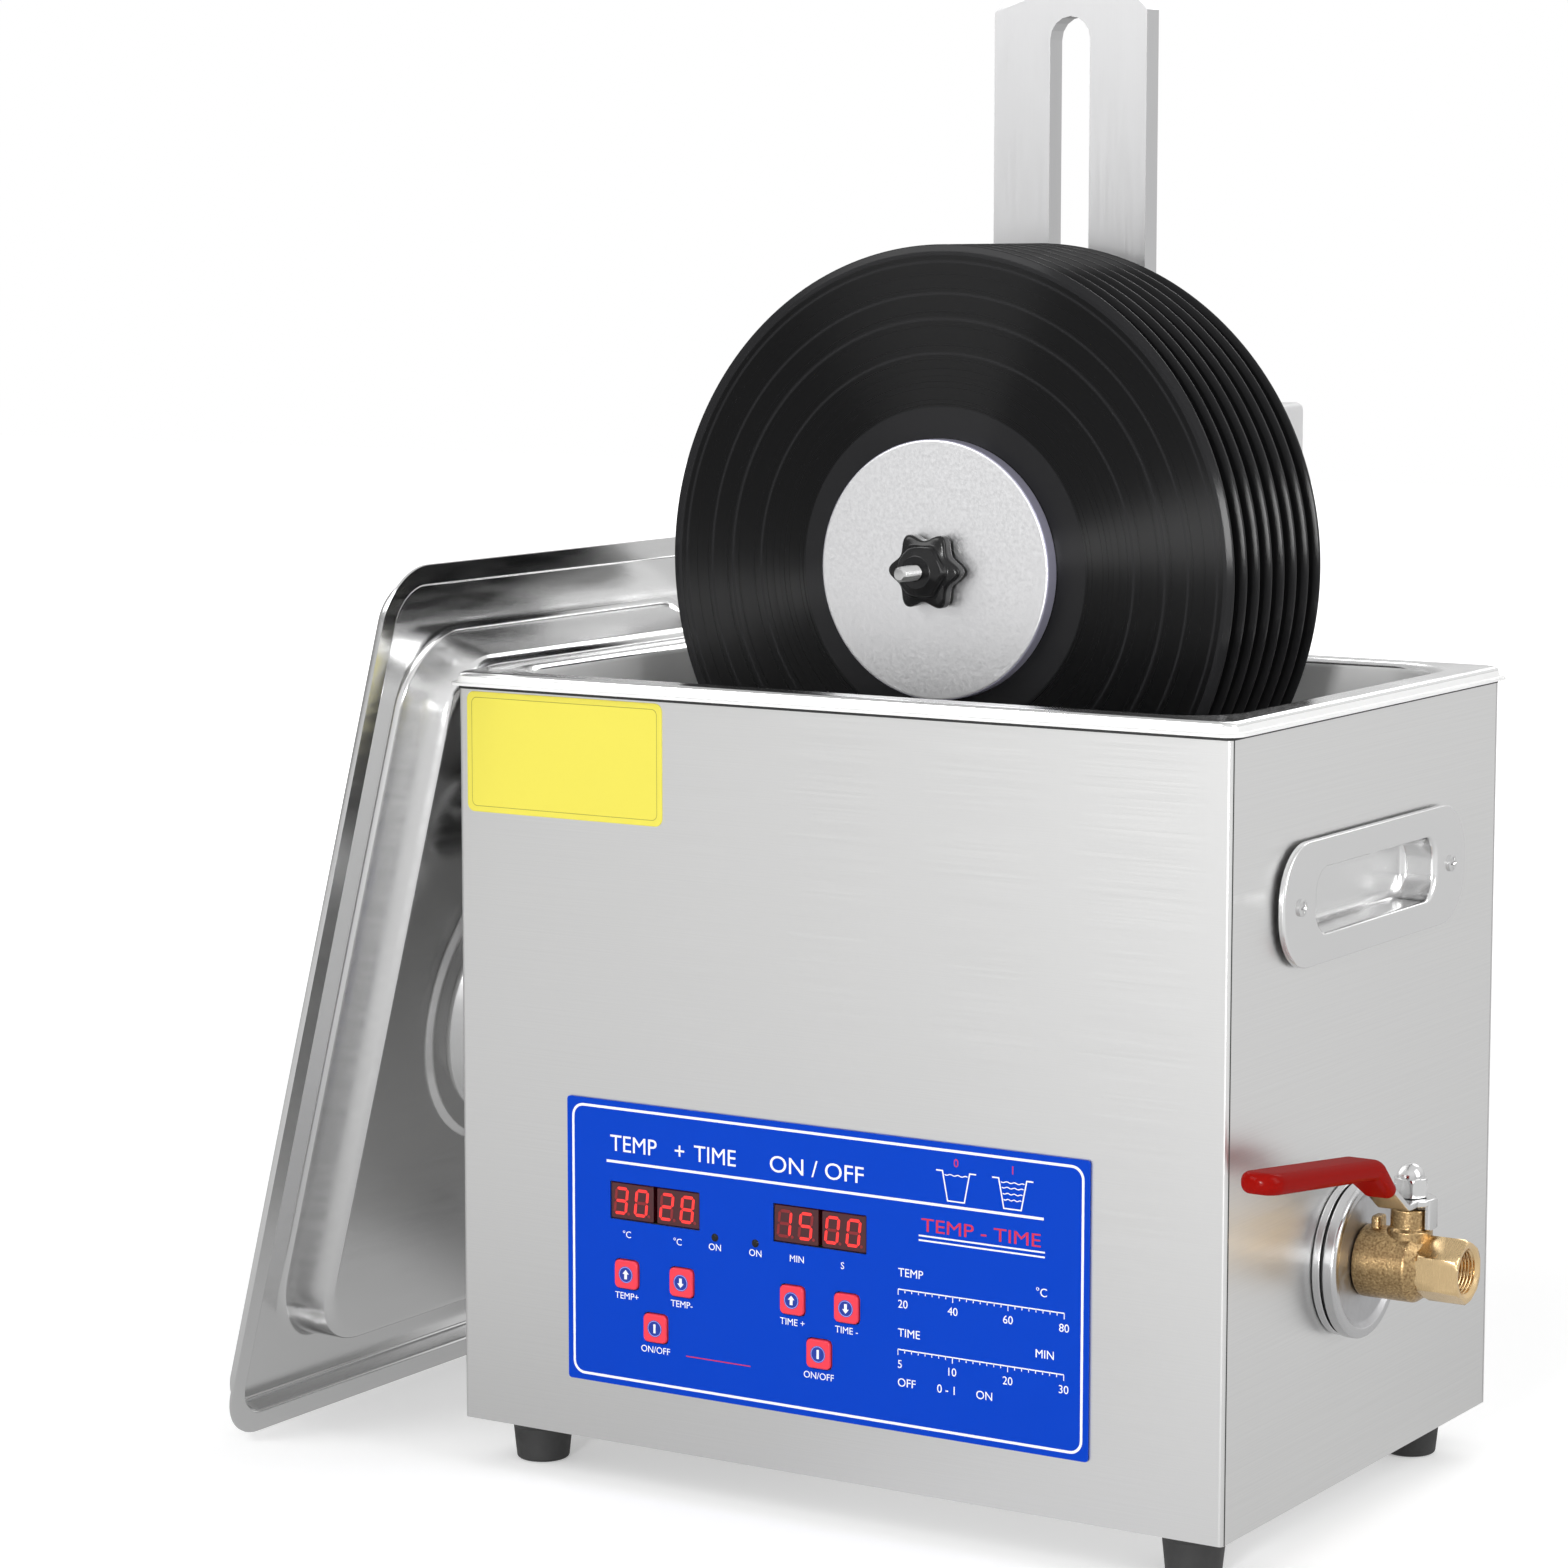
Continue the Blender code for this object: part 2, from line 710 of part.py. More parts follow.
def build_handles():
    """The recessed hand cups in the two sides, the left one turned half round."""
    outer_half = (handle_length / 2, handle_height / 2)
    inner_half = (handle_opening_length / 2, handle_opening_height / 2)
    face = handle_stand_off
    floor = handle_stand_off - handle_cup_depth
    edge = handle_edge_return

    def row(half, grow, radius, level):
        return (half[0] + grow, half[1] + grow, radius + grow, level)

    rows = [
        row(outer_half, 0.0, handle_corner_radius, face - edge),
        row(outer_half, 0.0, handle_corner_radius, face - sheet),
        row(outer_half, -sheet * 0.4, handle_corner_radius, face - sheet * 0.2),
        row(outer_half, -sheet * 1.2, handle_corner_radius, face),
        row(inner_half, sheet * 1.2, handle_opening_radius, face),
        row(inner_half, sheet * 0.4, handle_opening_radius, face - sheet * 0.3),
        row(inner_half, 0.0, handle_opening_radius, face - sheet * 1.2),
        row(inner_half, 0.0, handle_opening_radius, floor + sheet),
        row(inner_half, -sheet, handle_opening_radius, floor),
    ]
    for name, across, turn in (("handle_cup_right", body_width, 0.0), ("handle_cup_left", 0.0, math.pi)):
        add(name, pressed_sheet(rows, sheet, "X"), polished_steel, machine,
            (across, handle_y, handle_z), (0.0, 0.0, turn))


def build_controls():
    """The blue overlay, its six buttons, the two displays and the control board behind them."""
    overlay_middle = (overlay_left + overlay_width / 2, overlay_bottom + overlay_height / 2)
    outline = rounded_rectangle(overlay_width / 2, overlay_height / 2, overlay_corner_radius,
                                small_corner_steps, overlay_middle)
    overlay = add("control_overlay", prism(outline, overlay_front, overlay_back, "Y"), blue_overlay, machine)
    openings = [(shares, button_width, button_height, button_corner_radius)
                for shares in button_place_shares.values()]
    openings += [(shares, display_width, display_height, control_clearance)
                 for shares in display_place_shares.values()]
    for shares, width, height, radius in openings:
        hole = rounded_rectangle(width / 2 + control_clearance, height / 2 + control_clearance,
                                 radius, small_corner_steps, panel_point(shares))
        cut(overlay, prism(hole, overlay_front - cut_overrun, overlay_back + cut_overrun, "Y"))

    plunger_end = board_distance - switch_height - button_travel - fit_gap
    cap_back = button_cap_depth - button_proud
    for name, shares in button_place_shares.items():
        across, up = panel_point(shares)
        holder = group(name + "_slide", machine, (across, overlay_front, up))
        levels = [(button_width / 2 - button_edge, button_height / 2 - button_edge, -button_proud),
                  (button_width / 2, button_height / 2, button_edge - button_proud),
                  (button_width / 2, button_height / 2, cap_back),
                  (button_plunger_radius, button_plunger_radius, cap_back),
                  (button_plunger_radius, button_plunger_radius, plunger_end - overlay_front)]
        rings = []
        for half_across, half_up, level in levels:
            radius = min(button_corner_radius, half_across - button_edge / 4)
            outline = rounded_rectangle(half_across, half_up, radius, small_corner_steps)
            rings.append(set_square(outline, level, "Y"))
        add(name, loft(rings), red_button, holder, (across, overlay_front, up))

    for name, shares in display_place_shares.items():
        across, up = panel_point(shares)
        module_back = board_distance - fit_gap
        module_front = overlay_back - fit_gap
        base_front = module_back - display_base_depth
        half = (display_width / 2, display_height / 2)
        base = box((-half[0], base_front, -half[1]), (half[0], module_back, half[1]))
        display = add(name, base, dark_display, machine, (across, 0.0, up))
        for side in (-1, 1):
            near = side * display_module_gap / 2
            far = side * half[0]
            module = box((min(near, far), module_front, -half[1]),
                         (max(near, far), base_front + display_base_depth / 2, half[1]))
            join(display, module)

    board_half = (overlay_width / 2 - board_margin, overlay_height / 2 - board_margin)
    outline = rounded_rectangle(board_half[0], board_half[1], board_post_radius / 2, small_corner_steps)
    plate = prism(outline, board_distance, board_distance + board_thickness, "Y")
    board = add("control_board", plate, green_board, machine, (overlay_middle[0], 0.0, overlay_middle[1]))
    reach = board_distance + board_thickness / 2
    for side in (-1, 1):
        for end in (-1, 1):
            centre = (side * (board_half[0] - board_post_inset), end * (board_half[1] - board_post_inset))
            post = circle(board_post_radius, small_segments, centre)
            join(board, prism(post, sheet + fit_gap, reach, "Y"))
    for shares in button_place_shares.values():
        across, up = panel_point(shares)
        centre = (across - overlay_middle[0], up - overlay_middle[1])
        switch = circle(switch_radius, small_segments, centre)
        join(board, prism(switch, board_distance - switch_height, reach, "Y"))


def build_valve():
    """The drain valve on the right side, with its ball, stem, lever, grip and nut."""
    washer_back = body_width + fit_gap
    flange_back = washer_back + washer_thickness + fit_gap
    flange_front = flange_back + flange_thickness
    barrel_back = flange_front - flange_dish + fit_gap
    valve_end = body_width + valve_reach
    hex_back = valve_end - hex_length
    neck_start = body_width - valve_neck_inside
    bore = valve_neck_radius + fit_gap
    place = (0.0, valve_y, valve_z)
    edge = washer_thickness / 6

    washer = [(bore, washer_back), (washer_radius - edge, washer_back), (washer_radius, washer_back + edge),
              (washer_radius, washer_back + washer_thickness - edge),
              (washer_radius - edge, washer_back + washer_thickness), (bore, washer_back + washer_thickness)]
    add("valve_washer", turned(washer, "X", round_segments, True), zinc, machine, place)

    rim_inner = flange_radius - flange_flat_width
    flange = [(bore, flange_back), (flange_radius - edge, flange_back), (flange_radius, flange_back + edge),
              (flange_radius, flange_front - flange_dish - edge), (flange_radius - edge, flange_front - edge),
              (rim_inner, flange_front), (rim_inner - flange_dish * 2, flange_front - flange_dish),
              (bore, flange_front - flange_dish)]
    add("valve_flange", turned(flange, "X", round_segments, True), grey_aluminium, machine, place)

    narrow = hex_across_corners / 2 * math.cos(math.pi / 6) - edge
    body_profile = [(valve_neck_radius, neck_start), (valve_neck_radius, barrel_back),
                    (barrel_radius - edge, barrel_back), (barrel_radius, barrel_back + edge),
                    (barrel_radius, hex_back - barrel_shoulder), (narrow, hex_back + hex_chamfer),
                    (narrow, hex_back + hex_chamfer * 3)]
    valve = add("valve_body", turned(body_profile, "X"), brass, machine, place)
    hex_half = hex_across_corners / 2
    corner_on_top = 1 / 2
    hex_rings = [(hex_half - hex_chamfer, hex_back), (hex_half, hex_back + hex_chamfer),
                 (hex_half, valve_end - hex_chamfer), (hex_half - hex_chamfer, valve_end)]
    join(valve, loft([set_square(circle(radius, 6, first_share=corner_on_top), level, "X")
                       for radius, level in hex_rings]))
    bonnet = [(bonnet_radius, 0.0), (bonnet_radius, bonnet_height - bonnet_chamfer),
              (bonnet_radius - bonnet_chamfer, bonnet_height)]
    join(valve, turned(bonnet), (valve_stem_x, 0.0, 0.0))
    lug_half = stop_lug_width / 2
    lug_x = valve_stem_x - stop_lug_distance
    join(valve, box((lug_x - lug_half / 2, -lug_half, 0.0),
                    (lug_x + lug_half / 2, lug_half, stop_lug_height)))
    cut(valve, prism(circle(valve_bore_radius, small_segments), neck_start - cut_overrun,
                     valve_end + cut_overrun, "X"))
    cut(valve, prism(circle(outlet_bore_radius, round_segments), valve_end - outlet_bore_depth,
                     valve_end + cut_overrun, "X"))
    cut(valve, ball(ball_radius + running_gap), (valve_stem_x, 0.0, 0.0))
    cut(valve, prism(circle(stem_radius + running_gap, small_segments), 0.0, bonnet_height + cut_overrun),
        (valve_stem_x, 0.0, 0.0))

    stem_place = (valve_stem_x, valve_y, valve_z)
    handle = group("valve_handle", machine, stem_place)
    stem = add("valve_stem", ball(ball_radius), zinc, handle, stem_place)
    hub_top = lever_hub_height + lever_thickness
    stem_profile = [(stem_radius, 0.0), (stem_radius, hub_top - fit_gap), (stem_tip_radius, hub_top),
                    (stem_tip_radius, stem_height)]
    join(stem, turned(stem_profile, "Z", small_segments))
    cut(stem, prism(circle(valve_bore_radius, small_segments), -ball_radius - cut_overrun,
                    ball_radius + cut_overrun, "Y"))

    lever_line = [(0.0, lever_hub_height), (-lever_crank_start, lever_hub_height),
                  (-lever_crank_end, lever_hub_height + lever_crank_rise)]
    straight = lever_reach - grip_end_wall - lever_crank_end
    lever_line.append((-lever_crank_end - straight,
                       lever_hub_height + lever_crank_rise + straight * math.tan(lever_incline)))
    upper = offset_line(lever_line, -lever_thickness)
    strip = [tuple(point) for point in lever_line] + [tuple(point) for point in upper[::-1]]
    lever = add("valve_lever", prism(strip, -lever_width / 2, lever_width / 2, "X"), zinc, handle, stem_place)
    join(lever, turned([(lever_hub_radius, lever_hub_height), (lever_hub_radius, hub_top)],
                       "Z", middle_segments))
    tab_inner = lever_hub_radius - lever_thickness / 2
    join(lever, box((tab_inner, -lever_tab_width / 2, lever_hub_height - lever_tab_drop),
                    (lever_hub_radius, lever_tab_width / 2, hub_top - lever_thickness / 2)))
    stem_hole = circle(stem_radius + running_gap, small_segments)
    cut(lever, prism(stem_hole, lever_hub_height - cut_overrun, hub_top + cut_overrun))

    grip_line = swept_line(lever_line, lever_thickness)
    rings = []
    full_across = grip_width / 2
    full_thick = grip_thickness / 2
    for (along, up, tangent), share in grip_line:
        half_across = full_across * share
        half_thick = full_thick * share
        radius = min(grip_corner_radius, half_thick - fit_gap)
        ring = []
        for across, rise in rounded_rectangle(half_across, half_thick, radius, bend_steps):
            ring.append((across, along - rise * math.sin(tangent), up + rise * math.cos(tangent)))
        rings.append(ring)
    grip = add("lever_grip", loft(rings), red_vinyl, handle, stem_place)
    pocket_low = offset_line(lever_line[1:], fit_gap)
    pocket_high = offset_line(lever_line[1:], -lever_thickness - fit_gap)
    pocket_low[-1].x -= fit_gap
    pocket_high[-1].x -= fit_gap
    pocket = [tuple(point) for point in pocket_low] + [tuple(point) for point in pocket_high[::-1]]
    cut(grip, prism(pocket, -lever_width / 2 - fit_gap, lever_width / 2 + fit_gap, "X"))

    nut_bottom = hub_top + fit_gap
    nut_half = nut_across_corners / 2
    nut = add("lever_nut", loft([
        set_square(circle(nut_half, 6), nut_bottom, "Z"),
        set_square(circle(nut_half, 6), nut_bottom + nut_height, "Z")]), zinc, handle, stem_place)
    dome_radius = nut_half * math.cos(math.pi / 6) - fit_gap
    dome = [(dome_radius, nut_bottom + nut_height / 2)]
    for step in range(nut_dome_steps):
        angle = math.pi / 2 * step / nut_dome_steps
        dome.append((dome_radius * math.cos(angle),
                     nut_bottom + nut_height + nut_dome_height * math.sin(angle)))
    join(nut, turned(dome, "Z", middle_segments))
    cut(nut, prism(circle(stem_tip_radius + fit_gap, small_segments), nut_bottom - cut_overrun,
                   stem_height + fit_gap))


def swept_line(lever_line, thickness):
    """The grip's centre line: up the last part of the crank and along the lever, each with its swell.

    Each entry is ((along, up, slope angle), share of the full section there).
    """
    middle = offset_line(lever_line, -thickness / 2)
    crank_low, crank_high, tip = middle[1], middle[2], middle[3]
    crank_slope = math.atan2(crank_high.y - crank_low.y, crank_high.x - crank_low.x) - math.pi
    straight_slope = math.atan2(tip.y - crank_high.y, tip.x - crank_high.x) - math.pi
    entries = []
    for share, swell in grip_crank_shares:
        point = crank_low.lerp(crank_high, share)
        entries.append(((point.x, point.y, crank_slope), swell))
    entries.append(((crank_high.x, crank_high.y, (crank_slope + straight_slope) / 2), 1.0))
    for share in grip_straight_shares:
        point = crank_high.lerp(tip, share)
        entries.append(((point.x, point.y, straight_slope), 1.0))
    run = (tip - crank_high).normalized()
    for share, swell in grip_tip_shares:
        point = tip + run * (grip_end_wall * share)
        entries.append(((point.x, point.y, straight_slope), swell))
    return entries


def build_works():
    """Inside the housing: the drain pipe, the transducers and the generator board."""
    pipe_top = tank_floor - sheet - fit_gap
    pipe_end = body_width - valve_neck_inside - fit_gap
    bend_z = valve_z + pipe_bend_radius
    bend_x = drain_x + pipe_bend_radius
    flange_low = (drain_x, pipe_top - pipe_flange_thickness)
    outline = [((drain_x, pipe_top), 0.0, pipe_flange_radius), (flange_low, 0.0, pipe_flange_radius),
               (flange_low, 0.0, pipe_radius), ((drain_x, bend_z), 0.0, pipe_radius)]
    for step in range(1, pipe_bend_steps + 1):
        angle = math.pi / 2 * step / pipe_bend_steps
        centre = (bend_x - pipe_bend_radius * math.cos(angle), bend_z - pipe_bend_radius * math.sin(angle))
        outline.append((centre, angle, pipe_radius))
    outline.append(((pipe_end, valve_z), math.pi / 2, pipe_radius))

    def pipe_ring(centre, angle, radius):
        points = []
        for side, along in circle(radius, small_segments):
            points.append((centre[0] + side * math.cos(angle), along, centre[1] + side * math.sin(angle)))
        return points

    outer = [pipe_ring(centre, angle, radius) for centre, angle, radius in outline]
    inner = [pipe_ring(centre, angle, pipe_bore_radius) for centre, angle, radius in outline
             if centre != flange_low]
    add("drain_pipe", loft(outer + inner[::-1], capped=False), brass, machine, (0.0, valve_y, 0.0))

    top = tank_floor - sheet - fit_gap
    horn_low = top - transducer_horn_height
    stack_low = horn_low - transducer_stack_height
    tail_low = stack_low - transducer_tail_height
    profile = [(transducer_horn_radius, top), (transducer_horn_radius, top - transducer_horn_height / 4),
               (transducer_tail_radius, horn_low), (transducer_waist_radius, horn_low),
               (transducer_waist_radius, stack_low), (transducer_tail_radius, stack_low),
               (transducer_tail_radius, tail_low)]
    for index in range(transducer_count):
        across = (transducer_first_share + index * transducer_pitch_share) * body_width
        add("transducer_%d" % (index + 1), turned(profile, "Z", middle_segments), grey_aluminium, machine,
            (across, body_middle_y, 0.0))

    pan_top = body_bottom + sheet + fit_gap
    board_low = pan_top + generator_post_height
    half_across = generator_width / 2
    half_along = generator_depth / 2
    place = (generator_across_share * body_width, body_middle_y, 0.0)
    board = add("generator_board", box((-half_across, -half_along, board_low),
                                       (half_across, half_along, board_low + board_thickness)),
                green_board, machine, place)
    middle_level = board_low + board_thickness / 2
    for side in (-1, 1):
        for end in (-1, 1):
            centre = (side * (half_across - board_post_inset), end * (half_along - board_post_inset))
            join(board, prism(circle(board_post_radius, small_segments, centre), pan_top, middle_level))
    sink_along = half_along - heat_sink_depth
    join(board, box((-heat_sink_width / 2, sink_along, middle_level),
                    (heat_sink_width / 2, sink_along + heat_sink_depth / 2, middle_level + heat_sink_height)))
    choke = transformer_size / 2
    join(board, box((-choke, -choke - board_post_inset, middle_level),
                    (choke, choke - board_post_inset, middle_level + transformer_height)))


def build_inlet():
    """The mains inlet and its rocker switch, one moulded frame in the rear panel."""
    place = (inlet_x, body_depth, inlet_z)
    outline = rounded_rectangle(inlet_flange_width / 2, inlet_flange_height / 2, inlet_flange_radius,
                                bend_steps)
    flange = prism(outline, fit_gap, fit_gap + inlet_flange_thickness, "Y")
    frame = add("power_inlet", flange, black_plastic, machine, place)
    join(frame, box((-inlet_body_width / 2, -inlet_body_depth, -inlet_body_height / 2),
                    (inlet_body_width / 2, fit_gap + inlet_flange_thickness / 2, inlet_body_height / 2)))
    face = fit_gap + inlet_flange_thickness
    socket = rounded_rectangle(socket_width / 2, socket_height / 2, inlet_flange_radius,
                               small_corner_steps, (-socket_shift, 0.0))
    cut(frame, prism(socket, face - socket_depth, face + cut_overrun, "Y"))
    well = rounded_rectangle(rocker_width / 2 + fit_gap, rocker_well_height / 2, fit_gap, 1,
                             (rocker_shift, 0.0))
    cut(frame, prism(well, -rocker_well_height / 2, face + cut_overrun, "Y"))
    pin_root = face - socket_depth - pin_width
    pin_tip = face - socket_depth + pin_length
    for across, up in ((-pin_spread, -pin_width), (0.0, pin_width), (pin_spread, -pin_width)):
        middle = across - socket_shift
        join(frame, box((middle - pin_width / 2, pin_root, up - pin_height / 2),
                        (middle + pin_width / 2, pin_tip, up + pin_height / 2)))

    pivot_place = (inlet_x + rocker_shift, body_depth, inlet_z)
    hinge = group("mains_rocker", machine, pivot_place)
    outline = [(rocker_face_rise, -rocker_half_height), (rocker_face_dip, 0.0),
               (rocker_face_rise, rocker_half_height), (-rocker_back, rocker_back_half),
               (-rocker_back, -rocker_back_half)]
    add("rocker_switch", prism(outline, -rocker_width / 2, rocker_width / 2, "X"), black_plastic, hinge,
        pivot_place, (-rocker_tilt, 0.0, 0.0))


def build_bracket():
    """The slotted plate that stands in the back of the tank and the saddle that hooks over the rim."""
    half = bracket_width / 2
    shoulder = bracket_top - bracket_chamfer
    outline = [(-half, bracket_bottom), (half, bracket_bottom), (half, shoulder),
               (half - bracket_chamfer, bracket_top), (bracket_chamfer - half, bracket_top),
               (-half, shoulder)]
    plate = add("bracket_plate", prism(outline, bracket_front, bracket_back, "Y"), satin_aluminium, machine,
                (spindle_x, 0.0, 0.0))
    cut(plate, prism(capsule(slot_width / 2, spindle_z, slot_top), bracket_front - cut_overrun,
                     bracket_back + cut_overrun, "Y"))

    inner_face = bracket_back + fit_gap
    top = rim_top + fit_gap + saddle_thickness
    outer_face = body_depth + rim_lip_reach + fit_gap
    hook_low = top - saddle_outer_drop
    outline = [(inner_face, bracket_bottom), (inner_face + saddle_thickness, bracket_bottom),
               (inner_face + saddle_thickness, top - saddle_thickness),
               (outer_face, top - saddle_thickness), (outer_face, hook_low),
               (outer_face + saddle_thickness, hook_low), (outer_face + saddle_thickness, top),
               (inner_face, top)]
    add("rim_saddle", prism(outline, -saddle_width / 2, saddle_width / 2, "X"), satin_aluminium, machine,
        (spindle_x, 0.0, 0.0))


def build_carriage():
    """The motor case with its key in the slot, the gear motor and the knurled clamp knob."""
    place = (spindle_x, 0.0, spindle_z)
    carriage = group("carriage", machine, (spindle_x, bracket_back, spindle_z))
    half = motor_case_width / 2
    low = motor_case_bottom - spindle_z
    high = low + motor_case_height
    front = motor_case_front
    back = front + motor_case_length
    centre = (0.0, (low + high) / 2)
    half_up = motor_case_height / 2
    edge = motor_case_edge
    rings = []
    for shrink, level in ((edge, front), (0.0, front + edge), (0.0, back - edge), (edge, back)):
        outline = rounded_rectangle(half - shrink, half_up - shrink, edge * 2 - shrink, bend_steps, centre)
        rings.append(set_square(outline, level, "Y"))
    case = add("motor_case", loft(rings), grey_paint, carriage, place)
    key_outline = capsule(slot_width / 2 - fit_gap, 0.0, guide_key_above_shaft)
    wall = motor_case_wall
    join(case, prism(key_outline, bracket_front + fit_gap, front + wall / 2, "Y"))
    cut(case, box((wall - half, front + wall, low + wall), (half - wall, back - wall, high - wall)))
    cut(case, prism(circle(shaft_radius + running_gap, small_segments), bracket_front - cut_overrun,
                    front + wall + cut_overrun, "Y"))
    cut(case, prism(circle(clamp_stud_radius + running_gap, small_segments, (0.0, clamp_above_shaft)),
                    front - cut_overrun, front + wall + cut_overrun, "Y"))
    cut(case, prism(circle(cord_hole_radius, small_segments, (half * 0.7, low + half_up / 2)),
                    back - wall - cut_overrun, back + cut_overrun, "Y"))

    gearbox_back = gearbox_front + gearbox_length
    motor_profile = [(gearbox_radius, gearbox_front), (gearbox_radius, gearbox_back),
                     (motor_radius, gearbox_back), (motor_radius, gearbox_back + motor_length)]
    motor = add("gear_motor", turned(motor_profile, "Y"), grey_aluminium, carriage,
                (spindle_x, 0.0, spindle_z + shaft_off_motor))
    bore = circle(shaft_tip_radius + fit_gap, small_segments, (0.0, -shaft_off_motor))
    cut(motor, prism(bore, gearbox_front - cut_overrun, shaft_end + fit_gap, "Y"))

    clamp_place = (spindle_x, 0.0, clamp_z)
    clamp = group("clamp_screw", carriage, clamp_place)
    knob_back_face = bracket_front - clamp_knob_from_plate
    knob_front_face = knob_back_face - clamp_knob_thickness
    count = clamp_knob_flutes * 4

    def fluted(radius):
        points = []
        for step in range(count):
            angle = 2 * math.pi * step / count
            reach = radius - clamp_knob_flute_depth * (0.5 + 0.5 * math.cos(clamp_knob_flutes * angle))
            points.append((reach * math.cos(angle), reach * math.sin(angle)))
        return points

    bevel = clamp_knob_flute_depth
    knob_rings = [(clamp_knob_radius - bevel, knob_front_face), (clamp_knob_radius, knob_front_face + bevel),
                  (clamp_knob_radius, knob_back_face - bevel), (clamp_knob_radius - bevel, knob_back_face)]
    knob = add("clamp_knob", loft([set_square(fluted(radius), level, "Y") for radius, level in knob_rings]),
               black_plastic, clamp, clamp_place)
    stud = circle(clamp_stud_radius, small_segments)
    stud_end = bracket_back + clamp_stud_into_case
    join(knob, prism(stud, knob_back_face - clamp_knob_thickness / 2, stud_end, "Y"))
    return carriage


def build_spindle(carriage):
    """The threaded spindle with its records, spacers, label plates and star knob."""
    axis_place = (spindle_x, 0.0, spindle_z)
    spindle = group("spindle", carriage, (spindle_x, bracket_back, spindle_z))
    rod = [(rod_radius - rod_chamfer, rod_tip), (rod_radius, rod_tip + rod_chamfer),
           (rod_radius, collar_front), (collar_radius, collar_front), (collar_radius, collar_back),
           (shaft_radius, collar_back), (shaft_radius, gearbox_front - fit_gap),
           (shaft_tip_radius, gearbox_front - fit_gap), (shaft_tip_radius, shaft_end)]
    add("spindle_rod", turned(rod, "Y", middle_segments), zinc, spindle, axis_place)

    hole = record_hole_radius

    def plate(name, front, thickness):
        rim = label_plate_radius
        back = front + thickness
        profile = [(hole, front), (rim - plate_bevel, front), (rim, front + plate_bevel),
                   (rim, back), (hole, back)]
        add(name, turned(profile, "Y", fine_segments, True), satin_silver, spindle, axis_place)

    plate("front_label_plate", front_plate_front, front_plate_thickness)
    plate("rear_label_plate", rear_plate_front, rear_plate_thickness)

    bevel = record_edge_bevel
    for index in range(record_count):
        front = first_record_front + index * record_pitch
        back = front + record_thickness
        profile = [(hole, front), (record_radius - bevel, front), (record_radius, front + record_edge_round),
                   (record_radius, back - record_edge_round), (record_radius - bevel, back), (hole, back)]
        add("record_%d" % (index + 1), turned(profile, "Y", fine_segments, True), black_record,
            spindle, axis_place)
        if index < record_count - 1:
            near = back + fit_gap
            far = near + spacer_thickness
            profile = [(hole, near), (spacer_radius, near), (spacer_radius, far), (hole, far)]
            add("spacer_%d" % (index + 1), turned(profile, "Y", middle_segments, True), white_plastic,
                spindle, axis_place)

    count = knob_lobe_count * knob_points_per_lobe
    knob_place = (spindle_x, knob_back, spindle_z)
    turning = group("star_knob_turn", spindle, knob_place)

    def lobed(radius, swing, level):
        points = []
        for step in range(count):
            angle = 2 * math.pi * step / count
            reach = radius + swing * math.cos(knob_lobe_count * angle)
            points.append((reach * math.cos(angle), reach * math.sin(angle)))
        return set_square(points, level, "Y")

    bore = rod_radius + fit_gap
    shoulder = knob_lobe_radius - knob_lobe_swing / 2
    rings = [lobed(bore, 0.0, 0.0)]
    for radius, swing_share, length_share in (
            (knob_waist_radius, 0.0, 0.0), (knob_waist_radius, 0.0, 0.18), (shoulder, 0.9, 0.22),
            (knob_lobe_radius, 1.0, 0.28), (knob_lobe_radius, 1.0, 0.50), (shoulder, 0.9, 0.57),
            (knob_hub_radius, 0.1, 0.60), (knob_hub_radius - fit_gap, 0.0, 0.80),
            (knob_nose_radius, 0.0, 0.97)):
        rings.append(lobed(radius, knob_lobe_swing * swing_share, -knob_length * length_share))
    rings.append(lobed(bore, 0.0, -knob_length))
    add("star_knob", loft(rings, capped=False), black_plastic, turning, knob_place)


def reach_between(outline, low, high):
    """The furthest right that an outline of (across, up) points comes between two heights."""
    reach = -math.inf
    for (first_x, first_z), (last_x, last_z) in zip(outline, outline[1:]):
        bottom, top = sorted((first_z, last_z))
        for height in (max(low, bottom), min(high, top)):
            if max(low, bottom) <= height <= min(high, top) and top > bottom:
                share = (height - first_z) / (last_z - first_z)
                reach = max(reach, first_x + share * (last_x - first_x))
    return reach


